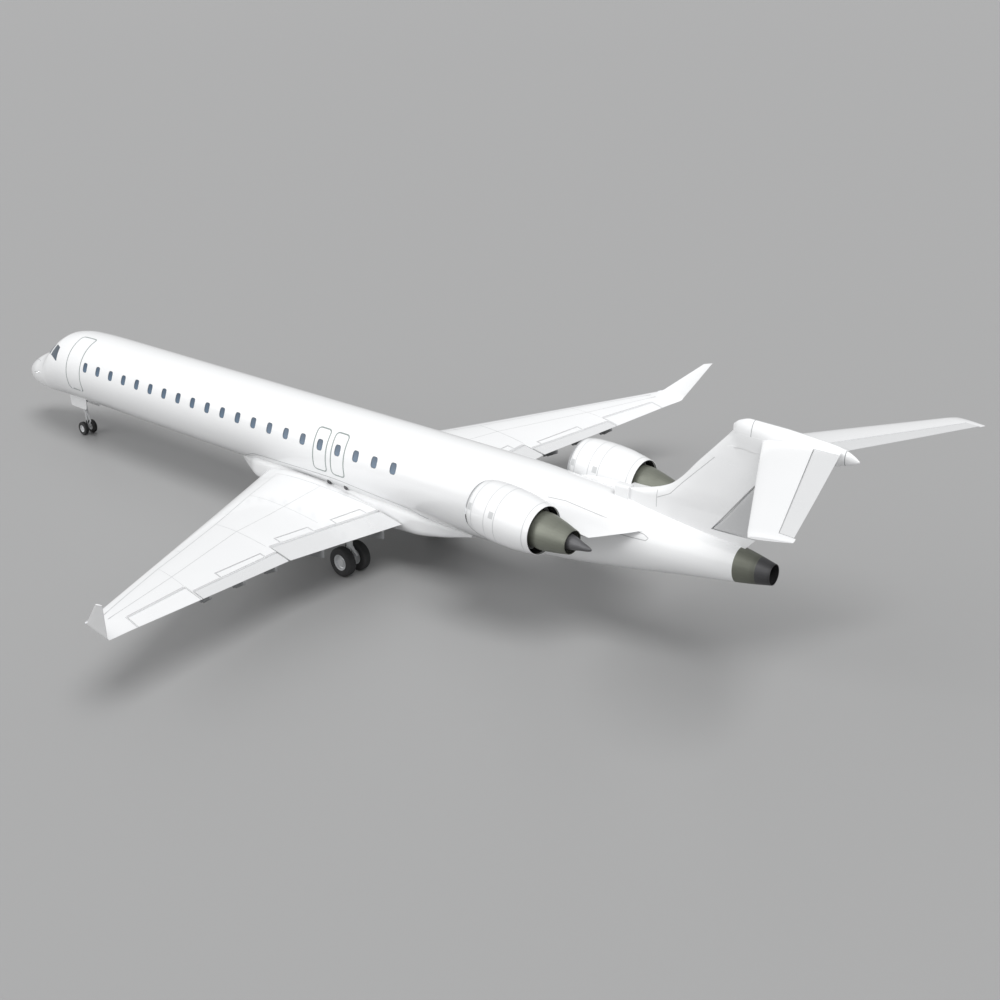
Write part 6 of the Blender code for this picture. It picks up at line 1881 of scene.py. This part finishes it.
@dataclass
class Gear:
    """The landing gear: legs with links, brakes and rigid pipes, twin wheels and the nose-bay doors."""

    shop: Workshop
    main_station: float = 20.45
    main_side: float = 2.035
    main_axle: float = 0.457
    nose_station: float = 3.20
    nose_axle: float = 0.26
    roof: float = -1.25
    brace_side: float = 1.52
    split: float = -1.95

    def link(self, top: np.ndarray, knee: np.ndarray, foot: np.ndarray, width: float) -> list[Solid]:
        """Make a scissor link: two tapered plates that meet at a knee pin.

        Args:
            top: the upper pin's middle.
            knee: the knee pin's middle.
            foot: the lower pin's middle.
            width: the plates' width at their wide ends.

        Returns:
            The plates and the pins.
        """
        solids = []
        for start, end in ((top, knee), (foot, knee)):
            normal = np.cross(unit(end - start), SIDEWAYS) * 0.016
            solids.append(Solid.from_rings([
                box_ring(start + (end - start) * share, SIDEWAYS * spread / 2, normal)
                for share, spread in ((0.0, width), (0.5, width * 0.75), (1.0, width * 0.4))]))
        for spot, share in ((knee, 0.3), (top, 0.55), (foot, 0.55)):
            solids.append(pin(spot, SIDEWAYS * width * share, 0.022))
        return solids

    def build_main(self, side: Side) -> None:
        """Make a main leg with its brace, links, brake, fixed rigid brake pipes and wheels."""
        make, label, out = self.shop.make, side.label, side.value * self.main_side
        axle = np.array([out, self.main_station - LENGTH / 2, self.main_axle])
        top = place(self.main_station, out, self.roof - 0.001)
        seat = axle + [0.0, 0.0, 0.36]
        knee = place(self.main_station, out, -1.95)
        foot = place(self.main_station, side.value * self.brace_side, self.roof - 0.06)
        shoulder = place(self.main_station, out, -1.30)
        parts = [
            rod(seat, top, 0.095, 48), rod(seat - [0, 0, 0.02], seat + [0, 0, 0.05], 0.108, 48),
            rod(top - [0, 0, 0.16], top, 0.115, 48), rod(knee, foot, 0.045), pin(knee, (0, 0.09, 0), 0.06),
            pin(foot, (0, 0.09, 0), 0.052), pin((knee + foot) / 2, (0, 0.07, 0), 0.058),
            rod(shoulder - [0, 0.17, 0], shoulder + [0, 0.11, 0], 0.045), pin(axle, (0.125, 0, 0), 0.108, 40),
            *self.link(seat + [0, 0.10, 0.02], axle + [0, 0.30, 0.19], axle + [0, 0.09, 0.045], 0.12),
        ]
        make(f"main_strut_{label}", parts, Paints.GEAR, f"main_leg_{label}")
        make(f"main_piston_{label}", rod(axle + [0, 0, 0.05], seat, 0.072, 40), Paints.CHROME)
        pipes = []
        for shift in (-0.05, 0.05):
            path = np.array([
                top + [shift, -0.118, -0.10], top + [shift, -0.112, -0.40], seat + [shift, -0.110, 0.10],
                seat + [shift, -0.150, -0.08], axle + [shift * 1.6, -0.165, 0.12],
                axle + [shift * 2.2, -0.09, 0.075],
            ])
            pipes.append(tube(rounded_path(path, 30), 0.010))
        pipes += [pin(seat + [0.0, -0.118, height], (0.075, 0, 0), 0.016) for height in (0.05, 0.45)]
        make(f"brake_pipes_{label}", pipes, Paints.BLACK)
        WheelPair(self.shop, f"main_wheels_{label}", axle, 0.457, 0.305, 0.30, 0.24, 0.055).build()

    def build_nose(self) -> None:
        """Make the nose leg, its steered lower part, the lamps, the wheels and the bay doors."""
        make = self.shop.make
        axle = np.array([0.0, self.nose_station - LENGTH / 2, self.nose_axle])
        split, top, elbow = (place(self.nose_station, 0.0, height) for height in (self.split, -0.751, -1.55))
        anchor = place(3.85, 0.0, -0.81)
        parts = [rod(split, top, 0.070, 48), rod(split, split + [0, 0, 0.07], 0.084, 48),
                 rod(elbow, anchor, 0.035),
                 pin(elbow, (0.10, 0, 0), 0.040), pin(anchor, (0.11, 0, 0), 0.040)]
        parts += [rod(elbow + [shift, 0, 0], anchor + [shift, 0, 0], 0.022) for shift in (-0.075, 0.075)]
        parts.append(pin(top - [0, 0, 0.05], (0.24, 0, 0), 0.045))
        make("nose_strut", parts, Paints.GEAR, "nose_leg")
        low = split - [0, 0, TOUCH]
        parts = [rod(low - [0, 0, 0.10], low, 0.085, 48), pin(axle, (0.078, 0, 0), 0.059, 40)]
        parts += self.link(low + [0, 0.085, -0.07], axle + [0, 0.24, 0.30], axle + [0, 0.055, 0.045], 0.075)
        make("nose_fork", parts, Paints.GEAR, "nose_leg_steered", body="nose_steering")
        piston = rod(axle + [0, 0, 0.042], low - [0, 0, 0.09], 0.048, 40)
        make("nose_piston", piston, Paints.CHROME, body="nose_steering")
        shell = rounded(((0.0, 0.0), (0.0, 0.050), (-0.03, 0.052), (-0.075, 0.030), (-0.085, 0.0)), 18)
        glass = rounded(((0.001, 0.0), (0.001, 0.044), (0.012, 0.030), (0.016, 0.0)), 12)
        centres = [elbow + [shift, -0.055, -0.10] for shift in (-0.13, 0.13)]
        shells, lamps = ([turned(profile, centre, -AFT, 32) for centre in centres] for profile in (shell,
                                                                                                   glass))
        shells.append(pin(elbow + [0, -0.03, -0.10], (0.13, 0, 0), 0.014))
        make("taxi_lamp_shells", shells, Paints.GEAR)
        make("taxi_lamps", lamps, Paints.LAMP)
        WheelPair(self.shop, "nose_wheels", axle, 0.26, 0.17, 0.185, 0.13, 0.030).build()
        sides = np.array([0.275, 0.2997, 0.2997, 0.275])
        for side in Side:
            rings = [place(np.array([front, front, back, back]), side.value * sides, height) for height,
                     front, back in
                     ((-1.18, 2.70, 3.80), (-1.50, 2.70, 3.80), (-1.74, 2.73, 3.77), (-1.80, 2.79, 3.71))]
            make(f"bay_door_{side.label}", Solid.from_rings(rings), Paints.WHITE,
                 f"nose_bay_door_{side.label}")

    def build(self) -> None:
        """Make the gear's pieces."""
        for side in Side:
            self.build_main(side)
        self.build_nose()


@dataclass
class Studio:
    """A plain pale floor, soft light and the camera at the photograph's angle."""

    position: tuple = (26.88, 30.213, 17.51)
    forward: tuple = (-0.69313, -0.61366, -0.37816)
    right: tuple = (-0.66288, 0.74873, 0.0)
    up: tuple = (-0.2831, -0.2507, 0.9257)
    roll: float = 0.008727
    lens: float = 48.69
    floor_size: float = 3000.0

    def build_camera(self) -> None:
        """Set the camera from its measured directions."""
        right, up, forward = Vector(self.right), Vector(self.up), Vector(self.forward)
        turned_right = (right - up * self.roll).normalized()
        turned_up = (up + right * self.roll).normalized()
        data = bpy.data.cameras.new("photo_camera")
        data.lens, data.sensor_width, data.sensor_fit = self.lens, 36.0, "HORIZONTAL"
        data.clip_end = 5000.0
        camera = bpy.data.objects.new("photo_camera", data)
        rows = Matrix((turned_right, turned_up, -forward)).transposed()
        camera.matrix_world = Matrix.Translation(Vector(self.position)) @ rows.to_4x4()
        bpy.context.scene.collection.objects.link(camera)
        bpy.context.scene.camera = camera

    def build_floor(self) -> None:
        """Lay the floor."""
        mesh = bpy.data.meshes.new("floor")
        half = self.floor_size / 2
        mesh.from_pydata([(-half, -half, 0), (half, -half, 0), (half, half, 0), (-half, half, 0)], [],
                         [(0, 1, 2, 3)])
        floor = bpy.data.objects.new("floor", mesh)
        material = bpy.data.materials.new("floor_paint")
        material.use_nodes = True
        shader = material.node_tree.nodes["Principled BSDF"]
        shader.inputs["Base Color"].default_value = (0.345, 0.345, 0.345, 1.0)
        shader.inputs["Roughness"].default_value = 0.45
        mesh.materials.append(material)
        bpy.context.scene.collection.objects.link(floor)

    def build_light(self) -> None:
        """Light the aircraft softly from above and behind the camera."""
        bpy.context.scene.view_settings.view_transform = "Standard"
        world = bpy.data.worlds.new("studio")
        bpy.context.scene.world = world
        world.use_nodes = True
        shader = world.node_tree.nodes["Background"]
        shader.inputs["Color"].default_value = (0.92, 0.925, 0.935, 1.0)
        shader.inputs["Strength"].default_value = 0.55
        for name, strength, angle, direction in (
            ("key", 1.9, 28.0, (-0.25, -0.55, -1.0)),
            ("fill", 1.1, 60.0, (-0.8, 0.4, -0.5)),
        ):
            data = bpy.data.lights.new(name, "SUN")
            data.energy = strength
            data.angle = math.radians(angle)
            lamp = bpy.data.objects.new(name, data)
            lamp.rotation_euler = Vector(direction).to_track_quat("-Z", "Y").to_euler()
            bpy.context.scene.collection.objects.link(lamp)

    def build(self) -> None:
        """Make the whole studio."""
        self.build_camera()
        self.build_floor()
        self.build_light()


def main() -> None:
    """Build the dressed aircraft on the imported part, and note its size before and after."""
    logging.basicConfig(level=logging.INFO, format="%(name)s %(levelname)s %(message)s")
    shop = Workshop()
    BodyShell(shop).build()
    BellyFairing(shop).build()
    for side in Side:
        Wing(shop, side).build()
        Engine(shop, side).build()
    Tail(shop).build()
    Gear(shop).build()
    Studio().build()
    LOG.info("%d pieces made for %d nodes", shop.count, len(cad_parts))


if __name__ == "__main__":
    main()
